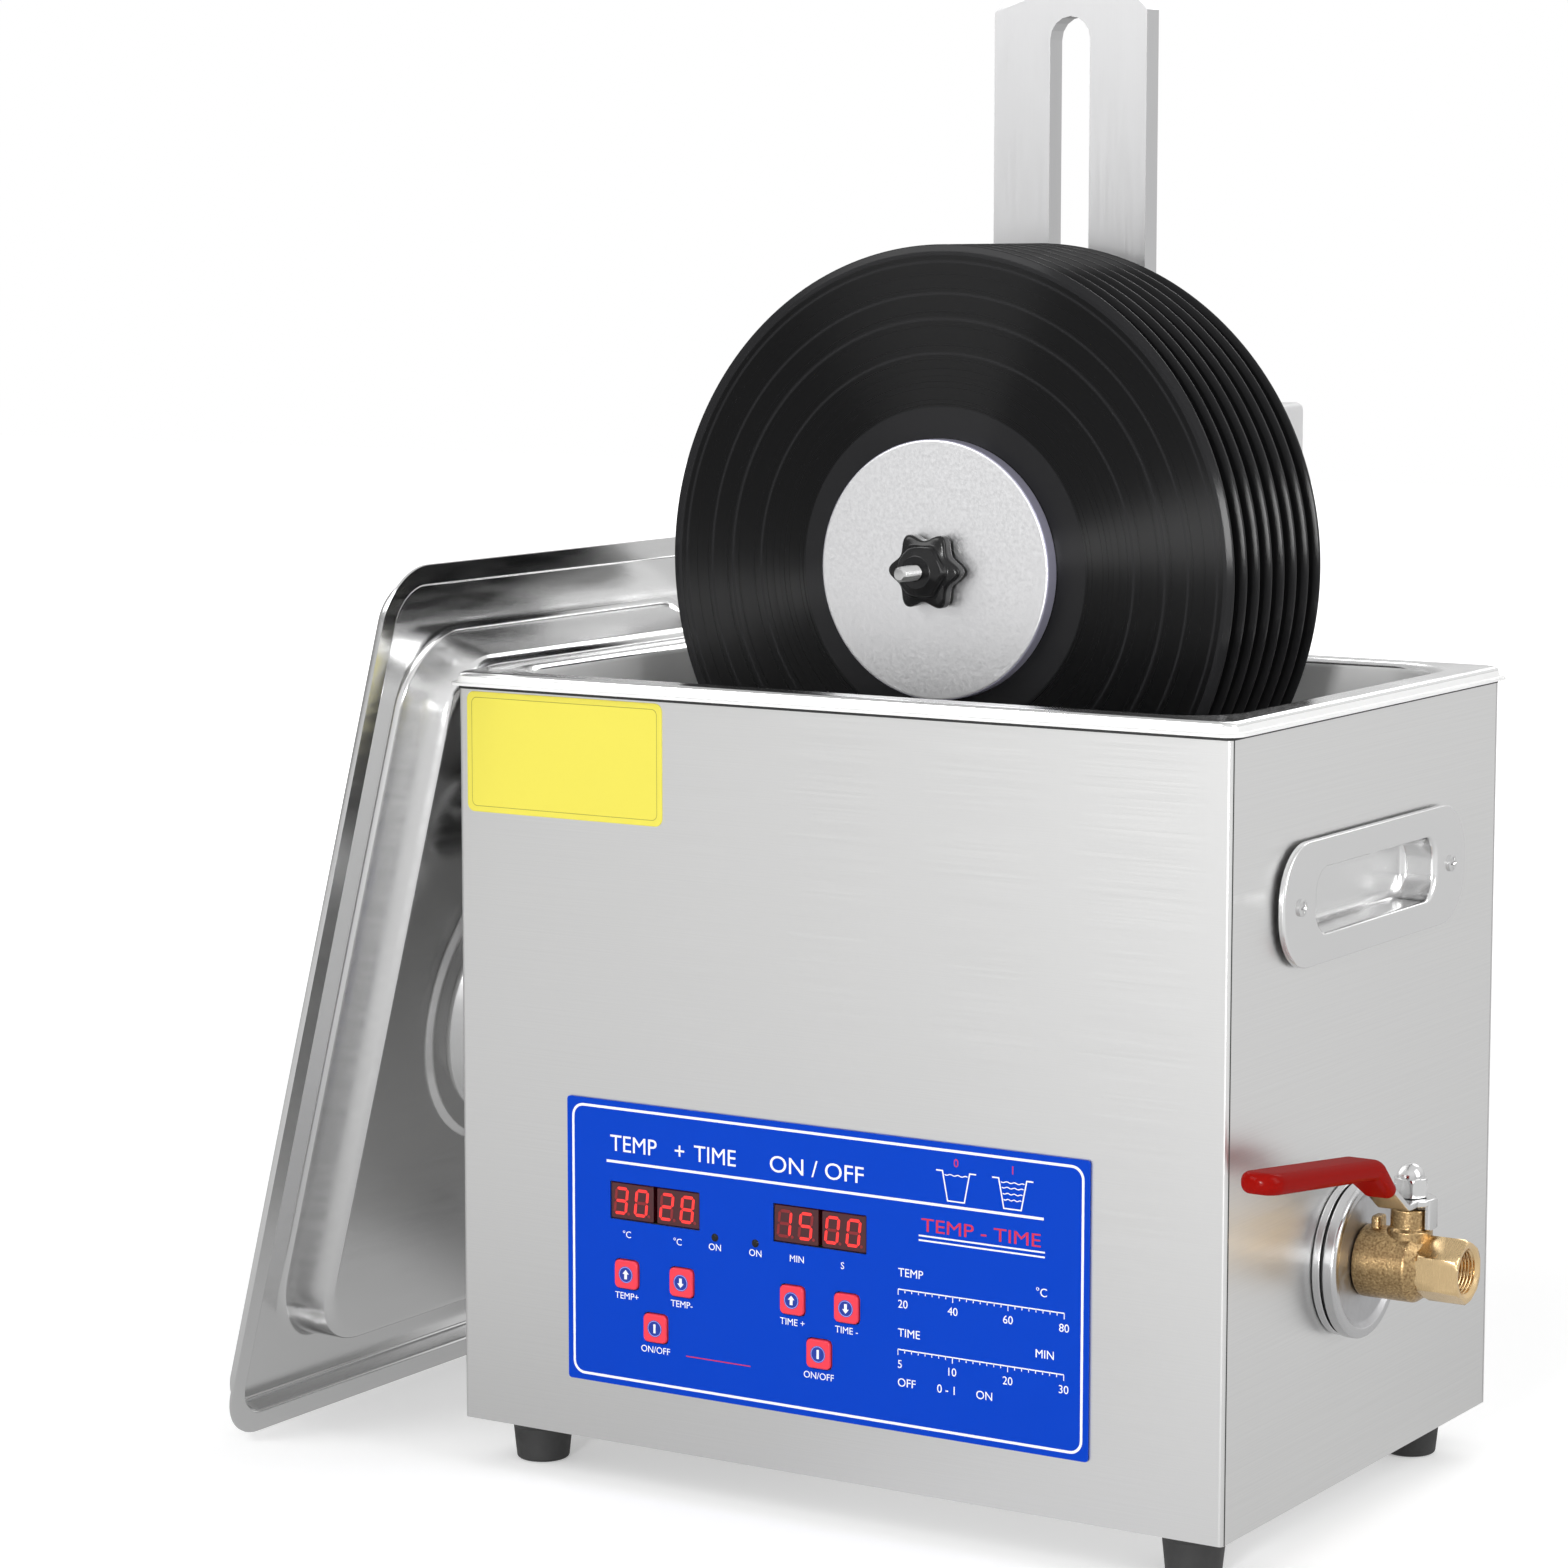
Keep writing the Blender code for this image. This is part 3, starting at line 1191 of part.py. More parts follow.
def build_lid():
    """The lid and its strap handle, leaning on the left side with the lower edge on the floor.

    It comes as near as the first thing it meets allows: the rim's lip, a handle plate or the side.
    """
    skirt = sheet
    half_up = body_width / 2 + rim_lip_reach + lid_clearance + skirt + lid_lip
    half_across = body_depth / 2 + rim_lip_reach + lid_clearance + skirt + lid_lip
    lip_level = lid_skirt_depth
    bend = lid_bend_radius
    plateau = lid_plateau_height
    base_up = body_width / 2 - rim_width - lid_plateau_clearance
    base_across = body_depth / 2 - rim_width - lid_plateau_clearance
    ring = lid_ring_radius
    step_slope = lid_ring_step
    inner_ring = ring - step_slope - lid_ring_width
    boss_top = plateau + lid_ring_step + lid_boss_height
    boss_flat = inner_ring - lid_boss_slope
    boss_edge = boss_flat + lid_boss_slope / 4

    def outer(inset, level):
        return (half_up - inset, half_across - inset, max(lid_corner_radius - inset, bend), level)

    def raised(inset, level):
        return (base_up - inset, base_across - inset, lid_plateau_corner - inset, level)

    def round_row(radius, level):
        return (radius, radius, radius, level)

    rows = [
        outer(0.0, lip_level), outer(lid_lip - bend / 2, lip_level), outer(lid_lip, lip_level - bend / 2),
        outer(lid_lip + skirt / 2, bend), outer(lid_lip + skirt / 2 + bend, 0.0),
        raised(-bend, 0.0), raised(0.0, bend), raised(lid_wall_slope, plateau - bend),
        raised(lid_wall_slope + bend, plateau),
        round_row(ring, plateau), round_row(ring - step_slope, plateau + lid_ring_step),
        round_row(inner_ring, plateau + lid_ring_step), round_row(boss_edge, boss_top - bend),
        round_row(boss_flat, boss_top),
    ]
    lean_sine = math.sin(lid_lean)
    lean_cosine = math.cos(lid_lean)
    ring_points = 4 * (lid_corner_steps + 1)
    middle_z = fit_gap + half_up * lean_cosine + lip_level * lean_sine
    facing = [(base_up - lid_wall_slope, plateau), (base_up, bend), (half_up - lid_lip, lip_level),
              (half_up, lip_level)]
    facing = [(-up, level) for up, level in facing[::-1]] + facing
    leaning = [(level * lean_cosine + up * lean_sine, middle_z + up * lean_cosine - level * lean_sine)
               for up, level in facing]
    obstacles = [(body_bottom, body_top, 0.0),
                 (handle_z - handle_height / 2, handle_z + handle_height / 2, handle_stand_off),
                 (body_top, body_top + fit_gap + sheet, rim_lip_reach)]
    middle_x = min(-stand_out - reach_between(leaning, low, high) for low, high, stand_out in obstacles) - fit_gap
    place = (middle_x, body_middle_y - lid_forward, middle_z)
    stand = group("lid_stand", machine, place, (0.0, lid_lean, 0.0))

    mesh = pressed_sheet(rows, sheet, "Z", lid_corner_steps)
    for vertex in mesh.vertices:
        up, across, level = vertex.co
        vertex.co = (level, across, up)
    mesh.flip_normals()
    add("lid", mesh, polished_steel, stand, place)

    floor = plateau + lid_ring_step - sheet - fit_gap
    half_strap = lid_strap_width / 2
    ring_flat = (ring - step_slope - sheet) * math.cos(math.pi / ring_points)
    foot_out = math.sqrt(ring_flat ** 2 - half_strap ** 2) - fit_gap * 2
    foot_in = foot_out - lid_strap_foot
    ramp_in = foot_in - lid_strap_ramp
    line = [(foot_out, floor), (foot_in, floor), (ramp_in, floor - lid_strap_rise),
            (-ramp_in, floor - lid_strap_rise), (-foot_in, floor), (-foot_out, floor)]
    upper = offset_line(line, lid_strap_thickness)
    strap_outline = [(level, up) for up, level in line] + [(point.y, point.x) for point in upper[::-1]]
    rings = [[(level, side * half_strap, up) for level, up in strap_outline] for side in (-1, 1)]
    add("lid_handle", loft(rings), polished_steel, stand, place)


def whole_box():
    """The lowest and highest corner of every finished piece, read from the evaluated meshes."""
    bpy.context.view_layer.update()
    shapes = bpy.context.evaluated_depsgraph_get()
    low = Vector((math.inf, math.inf, math.inf))
    high = -low
    for piece in bpy.context.scene.objects:
        if piece.type != "MESH" or piece.hide_render:
            continue
        finished = piece.evaluated_get(shapes)
        for vertex in finished.to_mesh().vertices:
            corner = finished.matrix_world @ vertex.co
            low = Vector(map(min, low, corner))
            high = Vector(map(max, high, corner))
        finished.to_mesh_clear()
    return low, high


build_housing()
build_tank()
build_handles()
build_controls()
build_valve()
build_works()
build_inlet()
build_bracket()
moving_carriage = build_carriage()
build_spindle(moving_carriage)
build_lid()

box_low, box_high = whole_box()
machine.location = (-(box_low.x + box_high.x) / 2, -(box_low.y + box_high.y) / 2, -box_low.z)
print("box size", [round(value, 5) for value in box_high - box_low])
print("bench zero lands at", [round(value, 6) for value in machine.location])
print("carriage travel", round(slot_top - clamp_z, 4))
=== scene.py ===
# %% [markdown]
# A bench-top ultrasonic record cleaner: a brushed steel housing round a pressed tank, a stack of records
# half sunk in it on a motor-driven spindle, a slotted plate that carries the motor, a drain valve on the
# right and the lid leaning on the left. The solids are loaded first, and every piece made here is
# measured from them, so nothing has to be fitted afterwards.

# %% Load the solids
import json
import math

import bmesh
import bpy
import numpy as np
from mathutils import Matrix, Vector


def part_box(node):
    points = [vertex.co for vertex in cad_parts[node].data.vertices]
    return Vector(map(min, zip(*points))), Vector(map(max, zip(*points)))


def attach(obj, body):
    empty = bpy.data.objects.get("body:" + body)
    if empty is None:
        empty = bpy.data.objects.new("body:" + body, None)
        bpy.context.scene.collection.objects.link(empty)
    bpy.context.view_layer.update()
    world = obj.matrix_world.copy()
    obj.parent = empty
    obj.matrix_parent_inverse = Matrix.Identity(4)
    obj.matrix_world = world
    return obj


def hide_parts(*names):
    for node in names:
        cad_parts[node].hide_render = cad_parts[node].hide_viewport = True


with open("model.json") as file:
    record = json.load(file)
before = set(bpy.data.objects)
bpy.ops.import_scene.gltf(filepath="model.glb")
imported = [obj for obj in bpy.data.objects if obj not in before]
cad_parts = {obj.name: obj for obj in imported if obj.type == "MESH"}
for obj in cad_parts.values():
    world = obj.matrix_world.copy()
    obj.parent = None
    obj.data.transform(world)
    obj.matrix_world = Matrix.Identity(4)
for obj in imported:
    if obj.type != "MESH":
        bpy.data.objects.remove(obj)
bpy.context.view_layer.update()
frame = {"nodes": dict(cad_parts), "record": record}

node = frame["nodes"]

# %% [markdown]
# The machine is easiest to describe in bench millimetres: x runs right along the front from the
# housing's left corner, y runs back from its front face, and z runs up from the table. The housing's
# own box says where that corner lies in the shared frame, so one shift turns bench millimetres into
# metres there.

# %% Bench millimetres
MM = 0.001
FOOT_HEIGHT = 18.0
bench_zero = np.array(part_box("housing_shell")[0]) - (0.0, 0.0, FOOT_HEIGHT * MM)


def to_frame(points):
    """Bench millimetres to metres in the shared frame: a point times a thousandth, plus the bench's zero."""
    return np.asarray(points, float) * MM + bench_zero


class Box:
    """A solid's box in bench millimetres: its lowest and highest corner, its middle and its half size."""

    def __init__(self, name):
        self.low, self.high = ((np.array(corner) - bench_zero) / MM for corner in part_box(name))
        self.middle, self.half = (self.low + self.high) / 2, (self.high - self.low) / 2


BODY_WIDTH, BODY_TOP = Box("housing_shell").high[[0, 2]]
BODY_DEPTH = Box("rear_panel").high[1]
print("housing", round(BODY_WIDTH, 1), round(BODY_DEPTH, 1), "top at", round(BODY_TOP, 1))

# %% [markdown]
# The picture was taken from the right of the machine's front, a little above it, with a long lens. A
# camera with no shift that looks down by a few degrees puts the housing's corners where they belong,
# and it also serves for the other views.

# %% Camera
IMAGE_SIDE = 1568
FOCAL_PIXELS = 4479.3
CAMERA_PLACE = (1021.0, -1392.9, 488.5)
CAMERA_TURN = 0.559665
CAMERA_DIP = 0.126482

scene = bpy.context.scene
lens = bpy.data.cameras.new("camera")
lens.sensor_width = 36.0
lens.lens = FOCAL_PIXELS * lens.sensor_width / IMAGE_SIDE
lens.clip_start, lens.clip_end = 0.05, 20.0
camera = bpy.data.objects.new("camera", lens)
scene.collection.objects.link(camera)
camera.location = to_frame(CAMERA_PLACE)
camera.rotation_euler = (math.pi / 2 - CAMERA_DIP, 0.0, CAMERA_TURN)
scene.camera = camera
print("lens", round(lens.lens, 1), "mm")

# %% [markdown]
# The sky, the floor and the finishes are small node trees. One helper adds a node, sets it and wires it
# in a single call, so each tree reads as the sums that it does.

# %% Node helpers


class Nodes:
    """Short calls that add nodes to one tree."""

    def __init__(self, tree):
        self.tree = tree

    def feed(self, socket, value):
        """A socket takes a value or another node's output; a colour may leave out its alpha."""
        if isinstance(value, bpy.types.NodeSocket):
            self.tree.links.new(value, socket)
        else:
            socket.default_value = (*value, 1.0) if socket.type == "RGBA" and len(value) == 3 else value

    def add(self, kind, inputs=(), out=0, **settings):
        """One node with its settings and inputs; gives the output asked for."""
        made = self.tree.nodes.new("ShaderNode" + kind)
        for key, value in settings.items():
            setattr(made, key, value)
        for key, value in dict(inputs).items():
            self.feed(made.inputs[key], value)
        return made.outputs[out] if made.outputs else made

    def ramp(self, source, stops, interpolation="EASE"):
        """Greys along a value, from (place, grey) stops."""
        made = self.add("ValToRGB", {"Fac": source}).node
        made.color_ramp.interpolation = interpolation
        elements = made.color_ramp.elements
        while len(elements) < len(stops):
            elements.new(0.5)
        for element, (place, grey) in zip(elements, stops):
            element.position, element.color = place, (grey, grey, grey, 1.0)
        return made.outputs["Color"]

    def remap(self, value, low, high, start=0.3, end=0.7):
        """A value's run from start to end becomes a run from low to high."""
        return self.add("MapRange", {"Value": value, "From Min": start, "From Max": end, "To Min": low,
                                     "To Max": high}, "Result")

    def maths(self, operation, first, second):
        """One sum of two values, such as their product or the greater of them."""
        return self.add("Math", {0: first, 1: second}, operation=operation)

    def mix(self, factor, first, second, **settings):
        """Two colours mixed by a factor."""
        return self.add("Mix", {"Factor": factor, "A": first, "B": second}, "Result",
                        **{"data_type": "RGBA", **settings})

    def either(self, factor, first, second):
        """Two shaders mixed by a factor."""
        return self.add("MixShader", {"Fac": factor, 1: first, 2: second})


print("node helpers ready")

# %% [markdown]
# A steel machine shows its surroundings, so the light is mostly the room: white where the camera looks
# past the machine, and for reflections a pale room with darker bands low down and to one side, as a
# light tent with its door open gives. Diffuse light comes from an even, dimmer sky and three broad
# lamps, at a level where a colour renders about as it is written. A small fourth lamp in front draws the
# bright sheen across the records.

# %% World and lamps
scene.view_settings.view_transform = "Standard"
world = bpy.data.worlds.new("studio")
scene.world = world
world.use_nodes = True
world.node_tree.nodes.clear()
sky = Nodes(world.node_tree)
WHITE = (1.0, 1.0, 1.0)
MATT_LIGHT = 0.46
direction = sky.add("SeparateXYZ", {0: sky.add("TexCoord", (), "Generated")}).node.outputs


def tent_band(axis, stops):
    """Brightness along one axis of the view direction, from (place, grey) stops."""
    return sky.ramp(sky.remap(direction[axis], 0.0, 1.0, -1.0, 1.0), stops)


def background(colour, strength=1.0):
    """A sky of this colour, times its strength."""
    return sky.add("Background", {"Color": colour, "Strength": strength})


tent = sky.mix(
    1.0, tent_band("Z", ((0.0, 0.80), (0.46, 0.86), (0.50, 0.70), (0.56, 0.88), (0.80, 1.0), (1.0, 0.88))),
    tent_band("X", ((0.0, 0.44), (0.20, 0.56), (0.32, 0.74), (0.50, 1.0), (0.80, 1.0), (1.0, 0.80))),
    blend_type="MULTIPLY")
ray = sky.add("LightPath").node.outputs
lit = sky.either(ray["Is Glossy Ray"], background(WHITE, MATT_LIGHT), background(tent))
sky.add("OutputWorld", {"Surface": sky.either(ray["Is Camera Ray"], lit, background(WHITE))})


def lamp(name, place, width, height, power):
    """A flat lamp at a bench place, turned to face the machine."""
    data = bpy.data.lights.new(name, "AREA")
    data.shape = "RECTANGLE"
    data.size, data.size_y, data.energy = width * MM, height * MM, power
    made = bpy.data.objects.new(name, data)
    scene.collection.objects.link(made)
    made.location = to_frame(place)
    towards = (BODY_WIDTH / 2, BODY_DEPTH / 2, BODY_TOP * 0.75)
    made.rotation_euler = Vector(to_frame(towards) - to_frame(place)).to_track_quat("-Z", "Y").to_euler()


lamp("key", (-700.0, -1100.0, 1250.0), 900.0, 900.0, 10.0)
lamp("side", (1500.0, 100.0, 800.0), 700.0, 1100.0, 8.0)
lamp("back", (100.0, 1500.0, 1300.0), 1200.0, 700.0, 7.0)
lamp("front", (535.0, -1850.0, 435.0), 300.0, 300.0, 17.0)

# %% [markdown]
# The machine stands on a plain pale floor. Seen by the camera the floor glows a little, so it runs into
# the white background but keeps the machine's soft shadow. Seen in the steel it glows with painted shade,
# darker close to the machine and to some sides of it, which gives the flat walls their slow fall from
# light to dark.

# %% Floor
FLOOR_REACH = 6000.0
FLOOR_DROP = 0.2
floor_mesh = bpy.data.meshes.new("floor")
floor_corners = np.array([(-1, -1, 0), (1, -1, 0), (1, 1, 0), (-1, 1, 0)]) * FLOOR_REACH * MM
floor_mesh.from_pydata((floor_corners - (0.0, 0.0, FLOOR_DROP * MM)).tolist(), [], [(0, 1, 2, 3)])
floor = bpy.data.objects.new("floor", floor_mesh)
scene.collection.objects.link(floor)
pale = bpy.data.materials.new("pale floor")
pale.use_nodes = True
pale.node_tree.nodes.clear()
floor_mesh.materials.append(pale)
ground = Nodes(pale.node_tree)

spot = ground.add("TexCoord", (), "Object")
spot_axes = ground.add("SeparateXYZ", {0: spot}).node.outputs
away = ground.maths("MULTIPLY", ground.add("VectorMath", {0: spot}, "Value", operation="LENGTH"), 0.25)
bearing = ground.remap(ground.maths("ARCTAN2", spot_axes["Y"], spot_axes["X"]), 0.0, 1.0, -math.pi, math.pi)
# Painted shade for the floor as the steel sees it: darker close to the machine and towards some sides.
painted_shade_near = ground.ramp(away, ((0.0, 0.52), (0.05, 0.64), (0.20, 0.84), (0.75, 1.0)))
side_to_side = ground.ramp(bearing, (
    (0.0, 0.66), (0.14, 0.74), (0.20, 0.78), (0.30, 1.0), (0.55, 0.96), (0.68, 0.76), (0.76, 0.62), (0.84, 0.22),
    (0.92, 0.28), (1.0, 0.66)))
shade = ground.mix(1.0, painted_shade_near, side_to_side, blend_type="MULTIPLY")
painted_shade_in_steel = ground.add("Emission", {"Color": shade, "Strength": 1.08})
chalk = ground.add("BsdfDiffuse", {"Color": (0.82, 0.82, 0.82)})
ray = ground.add("LightPath").node.outputs
surface = ground.either(ground.maths("MULTIPLY", ray["Is Glossy Ray"], 0.85), chalk, painted_shade_in_steel)
seen = ground.maths("MAXIMUM", ray["Is Camera Ray"], ray["Is Transmission Ray"])
glow = ground.add("Emission", {"Color": ground.ramp(away, ((0.0, 0.32), (0.2, 0.36), (0.5, 1.0))),
                               "Strength": seen})
ground.add("OutputMaterial", {"Surface": ground.add("AddShader", {0: surface, 1: glow})})
print("floor", FLOOR_REACH * 2 * MM, "m across")

# %% [markdown]
# A finish is a Principled shader with two uneven things: its roughness, and a fine relief. Both come
# from a noise in object space that may be stretched along an axis. What is the same all over a surface
# is set on the shader's own socket, and only what varies is wired.

# %% Finish helpers


class Finish(Nodes):
    """One material and its Principled shader.

    The roughness is a number, or (scale, detail, low, high) for a noise that runs between two values.
    The relief is (scale, detail, depth in millimetres, strength).
    """

    def __init__(self, name, colour, rough, metallic=0.0, relief=None, **sockets):
        self.material = bpy.data.materials.new(name)
        self.material.use_nodes = True
        self.material.diffuse_color = (*colour, 1.0)
        super().__init__(self.material.node_tree)
        self.shader = self.tree.nodes["Principled BSDF"].inputs
        self.place = self.add("TexCoord", (), "Object")
        uneven = isinstance(rough, tuple)
        sockets = {"Base Color": colour, "Roughness": sum(rough[2:]) / 2 if uneven else rough,
                   "Metallic": metallic, **sockets}
        for key, value in sockets.items():
            self.feed(self.shader[key.replace("_", " ")], value)
        if uneven:
            self.feed(self.shader["Roughness"], self.remap(self.grain(*rough[:2]), *rough[2:]))
        if relief:
            self.bump(self.grain(*relief[:2]), *relief[2:])

    def grain(self, scale, detail=2.0):
        """Noise in object space from 0 to 1; the scale is one number, or one for each axis."""
        scale = scale if isinstance(scale, tuple) else (scale,) * 3
        place = self.add("Mapping", {"Vector": self.place, "Scale": scale})
        return self.add("TexNoise", {"Vector": place, "Scale": 1.0, "Detail": detail}, "Fac")

    def bump(self, height, depth, strength=1.0):
        """Height 0 to 1 becomes this many millimetres of relief."""
        self.feed(self.shader["Normal"], self.add(
            "Bump", {"Distance": depth * MM, "Strength": strength, "Height": height}, "Normal"))


def sheet_steel(name, tint, along):
    """Brushed sheet: streaks 0.4 mm wide and 60 mm long run along one axis."""
    made = Finish(name, tint, 0.34, 1.0, Anisotropic=0.35)
    scale = [2400.0] * 3
    scale["XYZ".index(along)] = 16.0
    streaks = made.grain(tuple(scale), 3.0)
    dark = tuple(value * 0.96 for value in tint)
    made.feed(made.shader["Base Color"], made.mix(made.remap(streaks, 0.0, 1.0), dark, tint))
    made.feed(made.shader["Roughness"], made.remap(streaks, 0.39, 0.31))
    made.bump(streaks, 0.004, 0.5)
    return made


print("finish helpers ready")

# %% [markdown]
# The sheet metal comes in three kinds. The housing is brushed along the horizontal. The lid, handle
# plates and rim are polished nearly to a mirror but stay a little wavy from the press. The tank's
# inside is smooth and satin. The other metals are satin anodised aluminium for the slotted plate, satin
# silver for the label plates, zinc for the small hardware, turned steel for the valve's washer and
# flange, and brass that is sand-cast and grainy but bright where it was turned.

# %% Metal finishes
brushed_steel = sheet_steel("brushed steel", (0.80, 0.80, 0.795), "X")
side_steel = sheet_steel("side steel", (0.79, 0.79, 0.785), "Y")
polished_steel = Finish("polished steel", (0.77, 0.77, 0.77), ((30.0, 30.0, 260.0), 3.0, 0.15, 0.25), 1.0,
                        (14.0, 1.0, 0.4, 0.4))
rim_steel = Finish("rim steel", (0.82, 0.82, 0.82), (40.0, 2.0, 0.17, 0.24), 1.0)
tank_steel = Finish("tank steel", (0.88, 0.88, 0.875), ((160.0, 160.0, 30.0), 3.0, 0.36, 0.48), 0.15,
                    (12.0, 1.0, 0.2, 0.4))
satin_aluminium = Finish("satin aluminium", (0.58, 0.58, 0.585), ((2200.0, 2200.0, 40.0), 3.0, 0.36, 0.46), 1.0,
                         ((2200.0, 2200.0, 40.0), 3.0, 0.004, 0.5))
satin_silver = Finish("satin silver", (0.80, 0.80, 0.81), (700.0, 2.0, 0.32, 0.42), 1.0)
bevel_silver = Finish("bevel silver", (0.50, 0.49, 0.62), (60.0, 2.0, 0.30, 0.36), 0.4)
zinc = Finish("zinc", (0.66, 0.66, 0.66), (90.0, 1.0, 0.15, 0.22), 1.0)
turned_steel = Finish("turned steel", (0.56, 0.56, 0.565), ((60.0, 20.0, 20.0), 1.0, 0.22, 0.30), 1.0)
plain_aluminium = Finish("plain aluminium", (0.50, 0.50, 0.51), (300.0, 3.0, 0.34, 0.5), 1.0)
cast_brass = Finish("cast brass", (0.60, 0.42, 0.20), (1100.0, 3.0, 0.42, 0.26), 1.0, (1100.0, 3.0, 0.16, 0.9))
cast_brass.feed(cast_brass.shader["Base Color"], cast_brass.mix(
    cast_brass.remap(cast_brass.grain(1100.0, 3.0), 0.0, 1.0), (0.24, 0.15, 0.07), (0.60, 0.42, 0.21)))
turned_brass = Finish("turned brass", (0.78, 0.57, 0.31), ((5200.0, 160.0, 160.0), 2.0, 0.20, 0.30), 1.0,
                      ((5200.0, 160.0, 160.0), 2.0, 0.01, 0.6))
print("metals", satin_aluminium.material.name, zinc.material.name, cast_brass.material.name)

# %% [markdown]
# Plastics, rubber, paint and print come next. The blue film has a fine satin tooth, and the red grip is
# thick dipped vinyl with a thin glossy coat.

# %% Plastic, rubber, paint and print finishes
PRINT_TOOTH = (2600.0, 2.0, 0.005, 0.6)
blue_film = Finish("blue film", (0.0, 0.047, 0.48), (50.0, 2.0, 0.32, 0.40), 0.0, (2600.0, 2.0, 0.006, 0.6),
                   Specular_IOR_Level=0.10)
white_print = Finish("white print", (0.88, 0.89, 0.90), 0.42, 0.0, PRINT_TOOTH)
red_print = Finish("red print", (0.60, 0.015, 0.06), 0.42, 0.0, PRINT_TOOTH)
navy_print = Finish("navy print", (0.004, 0.03, 0.30), 0.40, 0.0, PRINT_TOOTH)
pale_print = Finish("pale print", (0.34, 0.36, 0.80), 0.42, 0.0, PRINT_TOOTH)
red_key = Finish("red key", (0.86, 0.04, 0.07), 0.34, 0.0, (2200.0, 2.0, 0.006, 0.6))
window_plastic = Finish("window plastic", (0.055, 0.004, 0.008), (60.0, 2.0, 0.10, 0.16), Coat_Weight=0.4,
                        Coat_Roughness=0.06)
lit_segment = Finish("lit segment", (0.95, 0.03, 0.03), 0.35, Emission_Color=(1.0, 0.03, 0.02),
                     Emission_Strength=0.35)
unlit_segment = Finish("unlit segment", (0.22, 0.012, 0.016), 0.30)
yellow_film = Finish("yellow film", (0.74, 0.66, 0.080), 0.34, 0.0, (1800.0, 2.0, 0.006, 0.6))
olive_print = Finish("olive print", (0.26, 0.23, 0.03), 0.45)
red_vinyl = Finish("red vinyl", (0.28, 0.004, 0.002), (60.0, 1.0, 0.36, 0.46), 0.0, (60.0, 1.0, 0.08, 0.4),
                   Specular_IOR_Level=0.0, Coat_Weight=0.14, Coat_Roughness=0.16)
black_rubber = Finish("black rubber", (0.035, 0.035, 0.035), (200.0, 2.0, 0.55, 0.72), 0.0,
                      (900.0, 3.0, 0.03, 0.6))
black_gloss = Finish("black gloss", (0.008, 0.008, 0.0085), (120.0, 1.0, 0.16, 0.24), Specular_IOR_Level=0.35)
grey_paint = Finish("grey paint", (0.66, 0.66, 0.665), (80.0, 2.0, 0.36, 0.46), 0.0, (700.0, 3.0, 0.02, 0.5))
green_board = Finish("green board", (0.015, 0.16, 0.05), (300.0, 2.0, 0.32, 0.5))
white_spacer = Finish("white spacer", (0.72, 0.72, 0.70), (90.0, 2.0, 0.36, 0.46))
dark_gap = Finish("dark gap", (0.02, 0.02, 0.02), (90.0, 2.0, 0.5, 0.7))
print("plastics and print", len(bpy.data.materials), "materials so far")

# %% [markdown]
# Every solid that keeps its own mesh is given its finish here. Those that get a finer piece below are
# dressed too, so nothing is ever left bare.

# %% Dress the solids
FINISH_OF_SLOT = {
    "brushed_steel": brushed_steel, "polished_steel": polished_steel, "tank_steel": tank_steel,
    "blue_overlay": blue_film, "red_button": red_key, "dark_display": window_plastic,
    "brass": cast_brass, "zinc": zinc, "red_vinyl": red_vinyl, "black_rubber": black_rubber,
    "black_record": black_gloss, "satin_silver": satin_silver, "black_plastic": black_gloss,
    "satin_aluminium": satin_aluminium, "grey_paint": grey_paint, "green_board": green_board,
    "grey_aluminium": plain_aluminium, "white_plastic": white_spacer,
}
slot_of_node = {part["node"]: part["material_slot"] for part in frame["record"]["subparts"]}
body_of_node = {name: body for body, names in frame["record"]["behaviour"]["bodies"].items() for name in names}
for name, solid in node.items():
    solid.data.materials.clear()
    solid.data.materials.append(FINISH_OF_SLOT[slot_of_node[name]].material)
print("dressed", len(node), "solids")

# %% [markdown]
# New pieces are skins: a grid of points with rows and columns. Quads join neighbouring rows, the
# columns close into a ring, and flat caps or a last row joined to the first close the skin. A piece is
# one or more skins in one mesh, each with its own finish.

# %% Skin helpers


def skin(grid, ends="caps"):
    """Faces for a grid of points (rows, columns, 3) whose columns close into a ring.

    Point (row, column) is number row x columns + column; each quad takes a point, its right
    neighbour and the two above. Ends are caps, or joined (last row to first).
    """
    rows, columns = grid.shape[:2]
    number = np.arange(rows * columns).reshape(rows, columns)
    caps = [number[0][::-1].tolist(), number[-1].tolist()] if ends == "caps" else []
    if ends == "joined":
        number = np.vstack([number, number[:1]])
    number = np.hstack([number, number[:, :1]])
    quads = np.stack([number[:-1, :-1], number[:-1, 1:], number[1:, 1:], number[1:, :-1]], -1)
    return grid.reshape(-1, 3), quads.reshape(-1, 4).tolist() + caps


def on_plane(outline, level, axis):
    """Flat points (n, 2) set square to an axis at a level: the other two axes keep their order."""
    return np.insert(np.asarray(outline, float), "XYZ".index(axis), level, axis=-1)


def stacked(rows, axis, ends="caps"):
    """A skin from (outline, level) rows that stand one behind the other along an axis."""
    return skin(np.stack([on_plane(outline, level, axis) for outline, level in rows]), ends)


